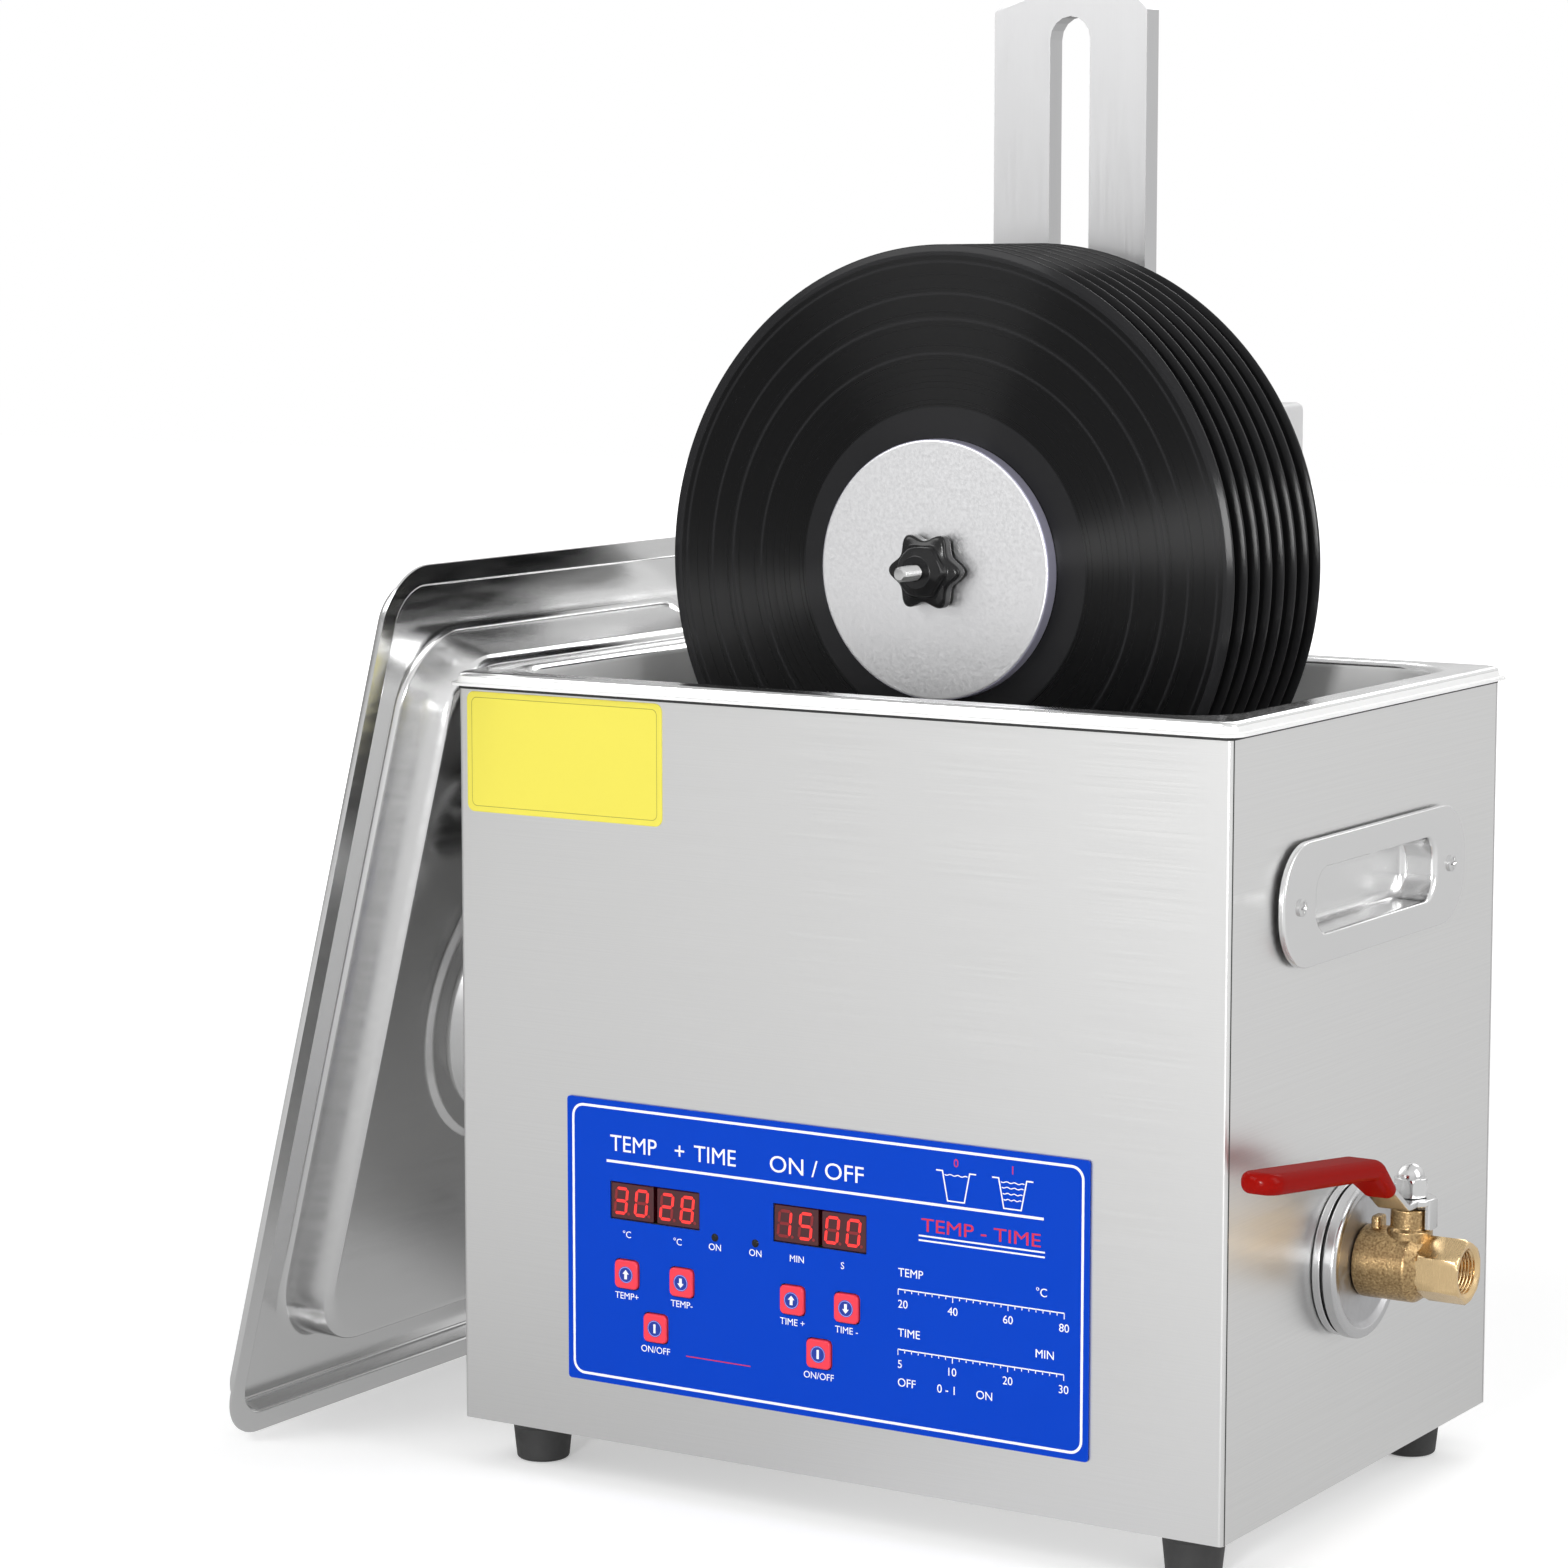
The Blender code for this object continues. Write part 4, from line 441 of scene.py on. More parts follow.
def place_piece(mesh, body, replaces, sharp, merge=0.0):
    """An object for a mesh in the shared frame, riding on its body.

    Faces are made to point outwards and shaded smoothly, but edges sharper than the given degrees stay
    sharp. Points closer than the merge distance become one.
    """
    work = bmesh.new()
    work.from_mesh(mesh)
    if merge:
        bmesh.ops.remove_doubles(work, verts=work.verts, dist=merge)
    bmesh.ops.recalc_face_normals(work, faces=work.faces)
    work.to_mesh(mesh)
    work.free()
    mesh.shade_smooth()
    mesh.set_sharp_from_angle(angle=math.radians(sharp))
    made = bpy.data.objects.new(mesh.name, mesh)
    scene.collection.objects.link(made)
    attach(made, body)
    if replaces:
        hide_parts(*replaces)
    return made


def make_piece(name, parts, body, replaces=(), sharp=32.0):
    """One object from (skin, finish) pairs in bench millimetres.

    A finish may be (first, second, chooser), where the chooser picks the second finish's faces from
    their centres.
    """
    points, faces, finishes, slots = [], [], [], []
    count = 0
    for (skin_points, skin_faces), finish in parts:
        pair = finish if isinstance(finish, tuple) else (finish,)
        finishes += [each for each in pair[:2] if each not in finishes]
        chosen = np.full(len(skin_faces), finishes.index(pair[0]))
        if len(pair) == 3:
            centres = np.array([skin_points[face].mean(axis=0) for face in skin_faces])
            chosen[pair[2](centres)] = finishes.index(pair[1])
        points.append(skin_points)
        faces += [[index + count for index in face] for face in skin_faces]
        slots += chosen.tolist()
        count += len(skin_points)
    mesh = bpy.data.meshes.new(name)
    mesh.from_pydata(to_frame(np.concatenate(points)).tolist(), [], faces)
    for finish in finishes:
        mesh.materials.append(finish.material)
    mesh.polygons.foreach_set("material_index", slots)
    return place_piece(mesh, body, replaces, sharp)


def stand_for(name, parts, sharp=32.0):
    """A finer piece in place of a solid."""
    return make_piece(name + "_fine", parts, body_of_node[name], [name], sharp)


print("skin helpers ready")

# %% [markdown]
# Most outlines here are circles, rounded rectangles or circles with lobes. Each is an array of points
# in order, so that rings of equal count can be joined into a skin.

# %% Outlines


def turns(count):
    """Even steps round a circle, in radians."""
    return np.linspace(0.0, 2 * np.pi, count, endpoint=False)


def around(reach, turn):
    """Flat points (reach cos t, reach sin t)."""
    return np.stack([reach * np.cos(turn), reach * np.sin(turn)], -1)


def circle(radius, count=64, middle=(0.0, 0.0)):
    """Points (radius cos t, radius sin t) for count even steps of t, about a middle."""
    return around(radius, turns(count)) + middle


def rounded(half_wide, half_high, radius, steps=8, middle=(0.0, 0.0)):
    """A rectangle with a quarter circle of this radius at each corner, anticlockwise from the right."""
    radius = min(radius, half_wide, half_high)
    turn = (np.arange(4)[:, None] * np.pi / 2 + np.linspace(0.0, np.pi / 2, steps + 1)).ravel()
    corners = np.array([(1, 1), (-1, 1), (-1, -1), (1, -1)]).repeat(steps + 1, axis=0)
    return corners * (half_wide - radius, half_high - radius) + around(radius, turn) + middle


def turned(profile, axis, middle, count=64, ends="joined"):
    """A profile of (radius, level) rows turned about an axis through a flat middle."""
    return stacked([(circle(radius, count, middle), level) for radius, level in profile], axis, ends)


def shifted_line(line, distance):
    """An open flat line moved to its left by a distance, mitred at its bends."""
    line = np.asarray(line, float)
    run = np.diff(line, axis=0)
    run /= np.linalg.norm(run, axis=1, keepdims=True)
    side = np.stack([-run[:, 1], run[:, 0]], 1)
    before = np.vstack([side[:1], side])
    both = before + np.vstack([side, side[-1:]])
    both /= np.linalg.norm(both, axis=1, keepdims=True)
    return line + both * (distance / np.sum(both * before, axis=1, keepdims=True))


print("outline helpers ready")

# %% [markdown]
# Sheet metal and turned parts are drawn as lines of sharp corners, each with a radius. The corners are
# then rounded, and one more point just outside each arc keeps the flats flat when light falls on them.

# %% Rounded corners and pressed sheets


def bend(line, radii, plane=(0, 1), steps=5, guard=0.25):
    """A line of points with its inner corners rounded in the plane of two of its coordinates.

    A corner P between unit directions a and b that turn by t gets an arc of radius r from
    S = P - a r tan(t/2) to E = P + b r tan(t/2). Its points, for s from 0 to 1, are
    ((1-s)^2 S + 2 w s (1-s) P + s^2 E) / ((1-s)^2 + 2 w s (1-s) + s^2) with w = cos(t/2).
    """
    line = np.asarray(line, float)
    kept = [line[:1]]
    for before, corner, after, radius in zip(line, line[1:], line[2:], radii):
        legs = [before - corner, after - corner]
        lengths = [np.linalg.norm(leg[list(plane)]) for leg in legs]
        flat = [leg[list(plane)] / length for leg, length in zip(legs, lengths)]
        turn = math.pi - math.acos(max(-1.0, min(1.0, float(flat[0] @ flat[1]))))
        if radius <= 0.0 or turn < 0.02:
            kept.append(corner[None])
            continue
        reach = min(radius * math.tan(turn / 2), 0.46 * lengths[0], 0.46 * lengths[1])
        start, end = (corner + leg / length * reach for leg, length in zip(legs, lengths))
        s = np.linspace(0.0, 1.0, steps + 1)[:, None]
        weight = 2 * math.cos(turn / 2) * s * (1 - s)
        curve = ((1 - s) ** 2 * start + weight * corner + s ** 2 * end) / ((1 - s) ** 2 + weight + s ** 2)
        guards = [corner + leg / length * (reach + min(guard, 0.04 * length))
                  for leg, length in zip(legs, lengths)]
        kept += [guards[0][None], curve, guards[1][None]]
    return np.concatenate(kept + [line[-1:]])


def ring_outline(half_a, half_b, radius, steps, middle):
    """A rounded rectangle, or an evenly spaced circle where the radius equals both half sizes."""
    if radius == half_a == half_b:
        return around(radius, (np.arange(4 * steps + 4) + 0.5) * np.pi / (2 * steps + 2)) + middle
    return rounded(half_a, half_b, radius, steps, middle)


def pressed(rows, thickness, axis, steps, middle=(0.0, 0.0), hole=None):
    """A pressed sheet as a skin from rows of (half size, other half size, corner radius, level).

    The first side has one rounded rectangle for each row; the second side's rows are moved by the
    thickness, square to the line of (half size, level). A hole, (centre, radius), is reached by rings
    that shrink straight towards its centre; without one both sides are capped.
    """
    rows = np.asarray(rows, float)
    section = rows[:, [0, 3]]
    sides = []
    for distance in (0.0, thickness):
        moved = shifted_line(section, distance) if distance else section
        side = []
        for row, (half, level) in zip(rows, moved):
            grow = half - row[0]
            outline = ring_outline(row[0] + grow, row[1] + grow, max(row[2] + grow, 0.25), steps, middle)
            side.append((outline, level))
        if hole:
            centre, radius = hole
            spokes = outline - centre
            side.append((centre + radius * spokes / np.linalg.norm(spokes, axis=1, keepdims=True), level))
        sides.append(side)
    return stacked(sides[0][::-1] + sides[1], axis, "joined" if hole else "caps")


print("a square corner of radius 2 becomes", len(bend([(0, 0), (10, 0), (10, 10)], [2.0])), "points")

# %% [markdown]
# The tank is pressed from one sheet: a thin lip that rests on the housing, a step up to the flat rim,
# a soft edge into the mouth, walls that taper by a millimetre and a floor with a drain hole. The
# rounded corners grow from a few millimetres outside to 28 mm at the mouth.

# %% Tank and rim
SHEET = 1.0
FIT = 0.3
tank = Box("tank")
RIM_TOP = tank.high[2]
TANK_FLOOR = tank.low[2] + SHEET
LIP_LEVEL = BODY_TOP + FIT + SHEET
VALVE_AXIS = Box("valve_flange").middle[1:]
DRAIN = (np.array([tank.high[0] - 50.0, VALVE_AXIS[0]]), 6.0)


def inset_rows(half, plan):
    """Rows for a pressed sheet from (inset from its edge, corner radius, level)."""
    return [(half[0] - inset, half[1] - inset, radius, level) for inset, radius, level in plan]


tank_rows = bend(inset_rows(tank.half, [
    (0.0, 7.0, LIP_LEVEL), (2.3, 4.7, LIP_LEVEL), (3.1, 4.2, RIM_TOP), (16.5, 28.0, RIM_TOP),
    (17.5, 27.0, TANK_FLOOR), (60.0, 12.0, TANK_FLOOR)]), [0.7, 1.9, 3.5, 15.0], (0, 3), 7)
stand_for("tank", [(pressed(tank_rows, SHEET, "Z", 14, tank.middle[:2], DRAIN),
                    (tank_steel, rim_steel, lambda centres: centres[:, 2] > RIM_TOP - 2.2))])
print("tank rim top", round(RIM_TOP, 1), "floor", round(TANK_FLOOR, 1), "drain at", np.round(DRAIN[0], 1))

# %% [markdown]
# The hand cups are pressed too: a return edge, a flat plate with round ends, and a cup with its own
# smaller outline. Two cross-head screws hold each plate.

# %% Hand cups
cup = Box("handle_cup_right")
CUP_STAND, CUP_DEPTH = cup.high[0] - BODY_WIDTH, cup.half[0] * 2
CUP_SCREW_REACH = 66.0


def cross_screw(head, height, place, axis, out=1, slot=0.9):
    """A pan-head screw skin: a domed disc whose top has a cross pressed into it.

    The head's height at distance r is height x sqrt(1 - (r/R)^2 / 1.6); where the turned-in cross
    reaches (the smaller of |u| and |v| under half the slot, r under 0.62 R) the point sinks.
    """
    rings = np.concatenate([[0.08], np.linspace(0.14, 0.94, 15), [0.975, 1.0]])
    r, t = np.meshgrid(rings * head, turns(96), indexing="ij")
    flat = around(r, t)
    level = height * np.sqrt(1 - (r / head) ** 2 / 1.6)
    inside = np.clip((slot / 2 - abs(flat).min(axis=-1)) / 0.12 + 0.5, 0, 1)
    level -= inside * np.clip((0.62 * head - r) / 0.25 + 0.5, 0, 1) * height * 0.75
    foot = on_plane(flat[-1:], 0.0, "Z")
    points, faces = skin(np.concatenate([np.dstack([flat, level]), foot]))
    axis = "XYZ".index(axis)
    placed = np.insert(points[:, :2], axis, out * points[:, 2], axis=1) + place
    return placed, faces


for side, hand in ((1, "right"), (-1, "left")):
    face = BODY_WIDTH + CUP_STAND if side > 0 else -CUP_STAND
    rows = bend([(*cup.half[1:], 21.0, 2.2), (*cup.half[1:], 21.0, 0.0), (52.0, 12.0, 9.0, 0.0),
                 (51.6, 11.6, 8.6, CUP_DEPTH - SHEET), (43.0, 3.0, 2.5, CUP_DEPTH - SHEET)],
                [1.1, 2.2, 3.0], (0, 3), 6)
    rows[:, 3] = face - side * rows[:, 3]
    stand_for("handle_cup_" + hand, [(pressed(rows, side * SHEET, "X", 10, cup.middle[1:]), polished_steel)])
    make_piece("handle_screws_" + hand, [
        (cross_screw(3.3, 1.3, (face, cup.middle[1] + end * CUP_SCREW_REACH, cup.middle[2]), "X", side),
         zinc) for end in (-1, 1)], "cleaner")
print("hand cups", np.round(cup.half[1:] * 2, 1), "deep", round(CUP_DEPTH, 1))

# %% [markdown]
# The housing keeps its own shape, and so do the other plain solids. A merged copy of each is shaded
# smoothly over its small bends, with the normals weighted by area so that large faces stay flat. The
# housing's walls are brushed along their own horizontal direction, its front corners have a thin dark
# seam, and a dark strip under the tank's lip is partly a seal and partly painted shadow of the lip.

# %% Housing and other softened solids


def softened(name, finishes=None, sharp=32.0):
    """A merged, smooth-shaded copy of a solid; finishes maps a face normal's main axis to a finish."""
    mesh = node[name].data.copy()
    mesh.name = name + "_soft"
    mesh.transform(node[name].matrix_world)
    made = place_piece(mesh, body_of_node[name], [name], sharp, 1e-6)
    if finishes:
        mesh.materials.clear()
        chosen = list(dict.fromkeys(finishes.values()))
        for finish in chosen:
            mesh.materials.append(finish.material)
        normals = np.zeros(len(mesh.polygons) * 3)
        mesh.polygons.foreach_get("normal", normals)
        main = np.argmax(abs(normals.reshape(-1, 3)), axis=1)
        slots = np.array([chosen.index(finishes[axis]) for axis in "XYZ"])
        mesh.polygons.foreach_set("material_index", slots[main])
    flats = made.modifiers.new("flats stay flat", "WEIGHTED_NORMAL")
    flats.keep_sharp, flats.weight = True, 90


softened("housing_shell", {"X": side_steel, "Y": brushed_steel, "Z": brushed_steel}, 20.0)
PLAIN = ["motor_case", "power_inlet", "rocker_switch", "clamp_knob", "bracket_plate", "rim_saddle",
         "rear_label_plate"] + ["spacer_%d" % index for index in range(1, 8)]
for name in PLAIN:
    softened(name)

SEAM = 0.5
seam_profile = ((-SEAM, 0.0), (-SEAM * 0.6, 0.06), (0.0, 0.08), (SEAM * 0.6, 0.06), (SEAM, 0.0))
for name, across, out_of in (("seam_right", BODY_WIDTH, 1.0), ("seam_left", 0.0, -1.0)):
    outline = [(across + out_of * rise, 2.1 + along) for along, rise in seam_profile]
    levels = (FOOT_HEIGHT + 0.2, 160.0, BODY_TOP - 0.2)
    make_piece(name, [(stacked([(outline, level) for level in levels], "Z"), dark_gap)], "cleaner")

body_half = np.array([BODY_WIDTH, BODY_DEPTH]) / 2
# The dark strip under the tank's lip is partly a rubber seal and partly painted shadow of the lip.
seal_and_shadow = [(rounded(*(body_half + grow), 2.5 + grow, 8, body_half), BODY_TOP + rise)
        for grow, rise in ((0.06, 0.26), (0.95, 0.26), (0.95, -1.0), (0.06, -1.2))]
make_piece("lip_seal_and_shadow", [(stacked(seal_and_shadow, "Z", "joined"), dark_gap)], "cleaner")
print("softened the housing and", len(PLAIN), "other solids")

# %% [markdown]
# The feet are moulded rubber: a slightly tapering body with a soft lower edge, a raised ring under it
# and a dimple for the screw.

# %% Feet
for name in sorted(solid for solid in node if solid.startswith("foot_")):
    top = FOOT_HEIGHT - FIT
    profile = bend([(4.0, top), (12.45, top), (12.45, top - 3.5), (11.7, top - 4.5), (10.3, 0.0), (5.2, 0.0),
                    (4.6, 4.0), (0.6, 4.0)], [0.8, 0.5, 0.5, 1.4, 0.5, 0.5])
    stand_for(name, [(turned(profile, "Z", Box(name).middle[:2], 56, "caps"), black_rubber)])
print("feet", FOOT_HEIGHT, "mm high")

# %% [markdown]
# The lid is one pressed sheet, drawn flat and then leant on the rim. From its edge inwards it has a
# flat lip, a skirt, the channel that sits on the tank's rim, a wall up to the plateau that drops into
# the mouth, and round steps that make room for the strap handle on the other side.

# %% Lid and strap handle
LEAN = math.radians(14.3)
LID_DEPTH = 38.0
corners = np.zeros(len(node["lid"].data.vertices) * 3)
node["lid"].data.vertices.foreach_get("co", corners)
turn_back = np.array([[math.cos(LEAN), 0, -math.sin(LEAN)], [0, 1, 0], [math.sin(LEAN), 0, math.cos(LEAN)]])
upright = (corners.reshape(-1, 3) - bench_zero) / MM @ turn_back.T
lid_low, lid_high = upright.min(axis=0), upright.max(axis=0)
LID_HALF = (lid_high - lid_low)[[2, 1]] / 2
LID_MIDDLE = np.array([lid_high[0] - LID_DEPTH, *(lid_low + lid_high)[1:] / 2])


def leant(shape):
    """A skin drawn in the lid's own upright frame (level, across, up), leant over on the machine."""
    points, faces = shape
    return (points + LID_MIDDLE) @ turn_back, faces


LIP = 9.0
base = body_half - 15.0
lid_rows = bend(inset_rows(LID_HALF, [(0.0, 22.0, 9.0), (LIP, 14.0, 9.0), (LIP + 0.8, 13.5, 0.0)]) + [
    (*base, 30.0, 0.0), (*(base - 5.0), 26.0, 22.0), (70.0, 70.0, 70.0, 22.0), (67.5, 67.5, 67.5, 24.5),
    (58.0, 58.0, 58.0, 24.5), (51.0, 51.0, 51.0, LID_DEPTH), (12.0, 12.0, 12.0, LID_DEPTH),
], [1.5, 1.5, 3.0, 4.5, 1.6, 1.6, 2.5, 2.5], (0, 3), 6)
lid_points, lid_faces = pressed(lid_rows, SHEET, "Z", 15)
stand_for("lid", [(leant((lid_points[:, [2, 1, 0]], lid_faces)), polished_steel)])

STRAP_FLOOR, STRAP_TOP = 23.2, 16.2
strap_line = bend([(66.1, STRAP_FLOOR), (60.1, STRAP_FLOOR), (54.1, STRAP_TOP), (-54.1, STRAP_TOP),
                   (-60.1, STRAP_FLOOR), (-66.1, STRAP_FLOOR)], [3.0] * 4)
strap_section = rounded(13.0, 1.0, 0.6, 3)
share = (strap_section[:, 1:] + 1.0) / 2.0
strap = []
for inner, outer in zip(strap_line, shifted_line(strap_line, -2.0)):
    run = inner * share + outer * (1 - share)
    strap.append(np.stack([run[:, 1], strap_section[:, 0], run[:, 0]], 1))
stand_for("lid_handle", [(leant(skin(np.stack(strap))), polished_steel)])
print("lid", np.round(LID_HALF * 2, 1), "leans", round(math.degrees(LEAN), 1), "degrees")

# %% [markdown]
# The eight records share one profile: a rounded edge, a thin lead-in and a flat playing face. Their
# grooves are too fine to model, so the finish works out each place's distance from the spindle. Fine
# grooves spread a shine across themselves, and the shader spreads it along its tangent, so the tangent
# is the way out from the spindle. Narrow smooth rings mark the gaps between tracks, and their lighter
# black is a painted sheen.

# %% Records
AXLE = Box("record_1").middle[[0, 2]]
RECORD_RADIUS = Box("record_1").half[0]
GAPS = ((0.0, 0.50), (0.663, 0.669), (0.768, 0.776), (0.846, 0.852), (0.945, 0.951), (0.968, 1.2))
GAP_BLUR = 0.002

grooved = Finish("grooved black", (0.004, 0.004, 0.0045), 0.30, Anisotropic=1.0, Specular_IOR_Level=0.20)
from_axle = grooved.add("VectorMath", {0: grooved.place, 1: to_frame((AXLE[0], 0.0, AXLE[1]))},
                        operation="SUBTRACT")
in_plane = grooved.add("VectorMath", {0: from_axle, 1: (1.0, 0.0, 1.0)}, operation="MULTIPLY")
grooved.feed(grooved.shader["Tangent"], grooved.add(
    "VectorTransform", {0: in_plane}, vector_type="VECTOR", convert_from="OBJECT", convert_to="WORLD"))
distance = grooved.add("VectorMath", {0: in_plane}, "Value", operation="LENGTH")
share = grooved.remap(distance, 0.0, 1.0, 0.0, RECORD_RADIUS * MM)
stops = [stop for start, end in GAPS
         for stop in ((start - GAP_BLUR, 1.0), (start, 0.0), (end, 0.0), (end + GAP_BLUR, 1.0))]
bands = grooved.ramp(share, [(place, grey) for place, grey in stops if 0.0 <= place <= 1.0], "LINEAR")
cut = grooved.add("TexNoise", {"W": share, "Scale": 70.0, "Detail": 3.0}, "Fac", noise_dimensions="1D")
grooved.feed(grooved.shader["Roughness"], grooved.mix(bands, 0.22, grooved.remap(cut, 0.26, 0.36),
                                                      data_type="FLOAT"))
# Painted sheen: the gap rings get a lighter black than the grooves.
grooved.feed(grooved.shader["Base Color"], grooved.mix(bands, (0.014, 0.014, 0.015), (0.002, 0.002, 0.0023)))

for index in range(1, 9):
    name, edge = "record_%d" % index, RECORD_RADIUS
    front, back = Box(name).low[1], Box(name).high[1]
    profile = bend([(3.6, front), (edge - 2.6, front), (edge, front + 0.75), (edge, back - 0.75),
                    (edge - 2.6, back), (3.6, back)], [2.0, 0.6, 0.6, 2.0], steps=4)
    profile = np.vstack([profile[:1], [(55.0, front), (90.0, front)], profile[1:-1],
                         [(90.0, back), (55.0, back)], profile[-1:]])
    stand_for(name, [(turned(profile, "Y", AXLE, 200), grooved)])
print("records", round(RECORD_RADIUS * 2, 1), "mm across, axle at", np.round(AXLE, 1))

# %% [markdown]
# The stack is clamped between two silver plates by a six-lobed knob. A lobe's outline is a circle
# whose radius swings with six times the angle, and the rod's thread is a radius that swings once for
# every pitch along the rod less one turn round it.

# %% Label plate, knob and threaded rod
plate = Box("front_label_plate")
plate_front, plate_back, PLATE_RADIUS = plate.low[1], plate.high[1], plate.half[0]
profile = bend([(3.3, plate_front), (PLATE_RADIUS, plate_front), (PLATE_RADIUS, plate_back), (3.3, plate_back)],
               [0.9, 0.5])
profile = np.vstack([profile[:1], [(20.0, plate_front)], profile[1:]])
stand_for("front_label_plate", [(turned(profile, "Y", AXLE, 160), (
    satin_silver, bevel_silver,
    lambda centres: np.hypot(*(centres[:, [0, 2]] - AXLE).T) > PLATE_RADIUS - 0.35))])


def lobed(radius, swing, level, lobes=6, per_lobe=20):
    """Points at radius + swing (cos 6t + 0.08 cos 12t) about the axle, at a level along it."""
    turn = turns(lobes * per_lobe)
    reach = radius + swing * (np.cos(lobes * turn) + 0.08 * np.cos(2 * lobes * turn))
    return on_plane(around(reach, turn) + AXLE, level, "Y")


knob = Box("star_knob")
knob_rows = bend([
    (3.4, 0.0, 0.0), (9.5, 0.0, 0.0), (9.5, 0.0, 1.8), (13.7, 1.9, 2.2), (13.7, 1.9, 7.6), (10.4, 0.6, 8.4),
    (9.6, 0.0, 11.2), (6.3, 0.0, 13.4), (3.4, 0.0, 13.5),
], [0.4, 0.6, 1.0, 1.7, 0.8, 2.4, 0.8], (0, 2), 6)
knob_grid = np.stack([lobed(radius, swing, knob.high[1] - level) for radius, swing, level in knob_rows])
stand_for("star_knob", [(skin(knob_grid, "joined"), black_gloss)])


def thread(radius, depth, pitch, levels, count=36):
    """Rings at radius - depth (1 - cos(2 pi level / pitch - t)) / 2, where t runs round each ring."""
    level, turn = np.meshgrid(levels, turns(count), indexing="ij")
    reach = radius - depth * (0.5 - 0.5 * np.cos(2 * np.pi * level / pitch - turn))
    return np.dstack([around(reach, turn), level])


def rings_of(profile, count):
    """Plain rings of (radius, level) rows, shaped like a thread's."""
    return np.stack([on_plane(circle(radius, count), level, "Z") for radius, level in profile])


rod = Box("spindle_rod")
tip, rod_back = rod.low[1], rod.high[1]
collar_front = Box("rear_label_plate").high[1] + FIT
collar_back = collar_front + 11.5
rod_rows = np.concatenate([
    rings_of([(1.2, tip), (2.1, tip + 0.08), (2.45, tip + 0.35)], 36),
    thread(2.99, 0.42, 1.0, np.arange(tip + 0.9, plate_front - 10.0, 0.125)),
    rings_of(bend([(2.6, plate_front - 9.0), (2.9, plate_front - 8.0), (2.9, collar_front), (9.0, collar_front),
                   (9.0, collar_back), (4.9, collar_back), (4.9, rod_back - 12.0), (3.0, rod_back - 12.0),
                   (3.0, rod_back)], [0.3, 0.0, 0.8, 0.8, 0.0, 0.5, 0.0]), 36),
])
stand_for("spindle_rod", [(skin(rod_rows[..., [0, 2, 1]] + (AXLE[0], 0.0, AXLE[1])), zinc)])
print("plate radius", round(PLATE_RADIUS, 1), "knob", round(knob.half[1] * 2, 1), "rod tip at y", round(tip, 1))

# %% [markdown]
# The drain valve is a sand-cast brass body: a barrel, a neck for the stem and a turned hexagon with a
# threaded outlet. A hexagon's radius at an angle is its flat's distance divided by the cosine of the
# angle from the nearest flat, and the turning of its ends limits that radius near each face. The steel
# washer behind it has a fine dark step, and the flange a hollow face.

# %% Drain valve
nut = Box("lever_nut")
STEM_X = nut.middle[0]
valve_y, valve_z = VALVE_AXIS
stem = np.array([STEM_X, valve_y])
flange, washer = Box("valve_flange"), Box("valve_washer")
washer_back, washer_face, flange_back, flange_face = washer.low[0], washer.high[0], flange.low[0], flange.high[0]
OUTLET, BORE, PITCH = Box("valve_body").high[0], 8.35, 1.34
BARREL_RADIUS, PIPE_RADIUS = 13.5, 10.3


def hexagon(across_corners, rows, count=96, start=0.0):
    """Rings of a hexagon; each row is (greatest radius there, level)."""
    turn, rows = turns(count), np.array(rows)
    flat = across_corners / 2 * math.cos(math.pi / 6)
    edge = flat / np.cos(np.mod(turn - start, math.pi / 3) - math.pi / 6)
    reach = np.minimum(edge, rows[:, :1])
    return np.dstack([around(reach, turn), np.broadcast_to(rows[:, 1:], reach.shape)])


hex_back = OUTLET - 17.0
hexed = np.concatenate([
    hexagon(24.5, [(7.0, hex_back), (10.7, hex_back), (11.2, hex_back + 0.2), (12.4, hex_back + 1.3),
                   (12.4, hex_back + 8.5), (12.4, OUTLET - 1.3), (11.4, OUTLET - 0.3), (11.0, OUTLET),
                   (9.6, OUTLET)], start=math.pi / 6),
    rings_of([(9.3, OUTLET - 0.05), (8.5, OUTLET - 0.8)], 96),
    thread(BORE + 0.1, 0.75, PITCH, np.arange(OUTLET - 1.0, OUTLET - 13.0, -0.15), 96),
    rings_of([(8.0, OUTLET - 13.4), (5.2, OUTLET - 13.5), (5.0, OUTLET - 13.7), (5.0, OUTLET - 16.4)], 96)])
barrel_start = flange_face - 1.3
barrel = bend([(10.0, washer_back), (10.0, barrel_start), (BARREL_RADIUS, barrel_start),
               (BARREL_RADIUS, hex_back - 3.4), (PIPE_RADIUS, hex_back + 1.2), (PIPE_RADIUS, hex_back + 3.0)],
              [0.0, 1.2, 2.2, 1.0])
bonnet = bend([(8.4, valve_z), (8.4, valve_z + 13.6), (7.2, valve_z + 14.8), (7.2, valve_z + 22.0),
               (3.9, valve_z + 22.0)], [0.8, 0.6, 0.9])
lug = [(rounded(1.75, 3.5, 1.0, 5) * shrink + stem - (12.5, 0.0), valve_z + rise)
       for shrink, rise in ((1.0, 0.0), (1.0, 16.2), (0.93, 17.1), (0.75, 17.5))]
stand_for("valve_body", [
    (turned(barrel, "X", VALVE_AXIS, 96, "caps"), cast_brass),
    (turned(bonnet, "Z", stem, 64, "caps"), cast_brass),
    (stacked(lug, "Z"), cast_brass),
    (skin(hexed[..., [2, 0, 1]] + (0.0, valve_y, valve_z)), turned_brass),
], 40.0)


def off_valve(centres):
    """Each point's distance from the valve's own line."""
    return np.hypot(*(centres[:, 1:] - VALVE_AXIS).T)


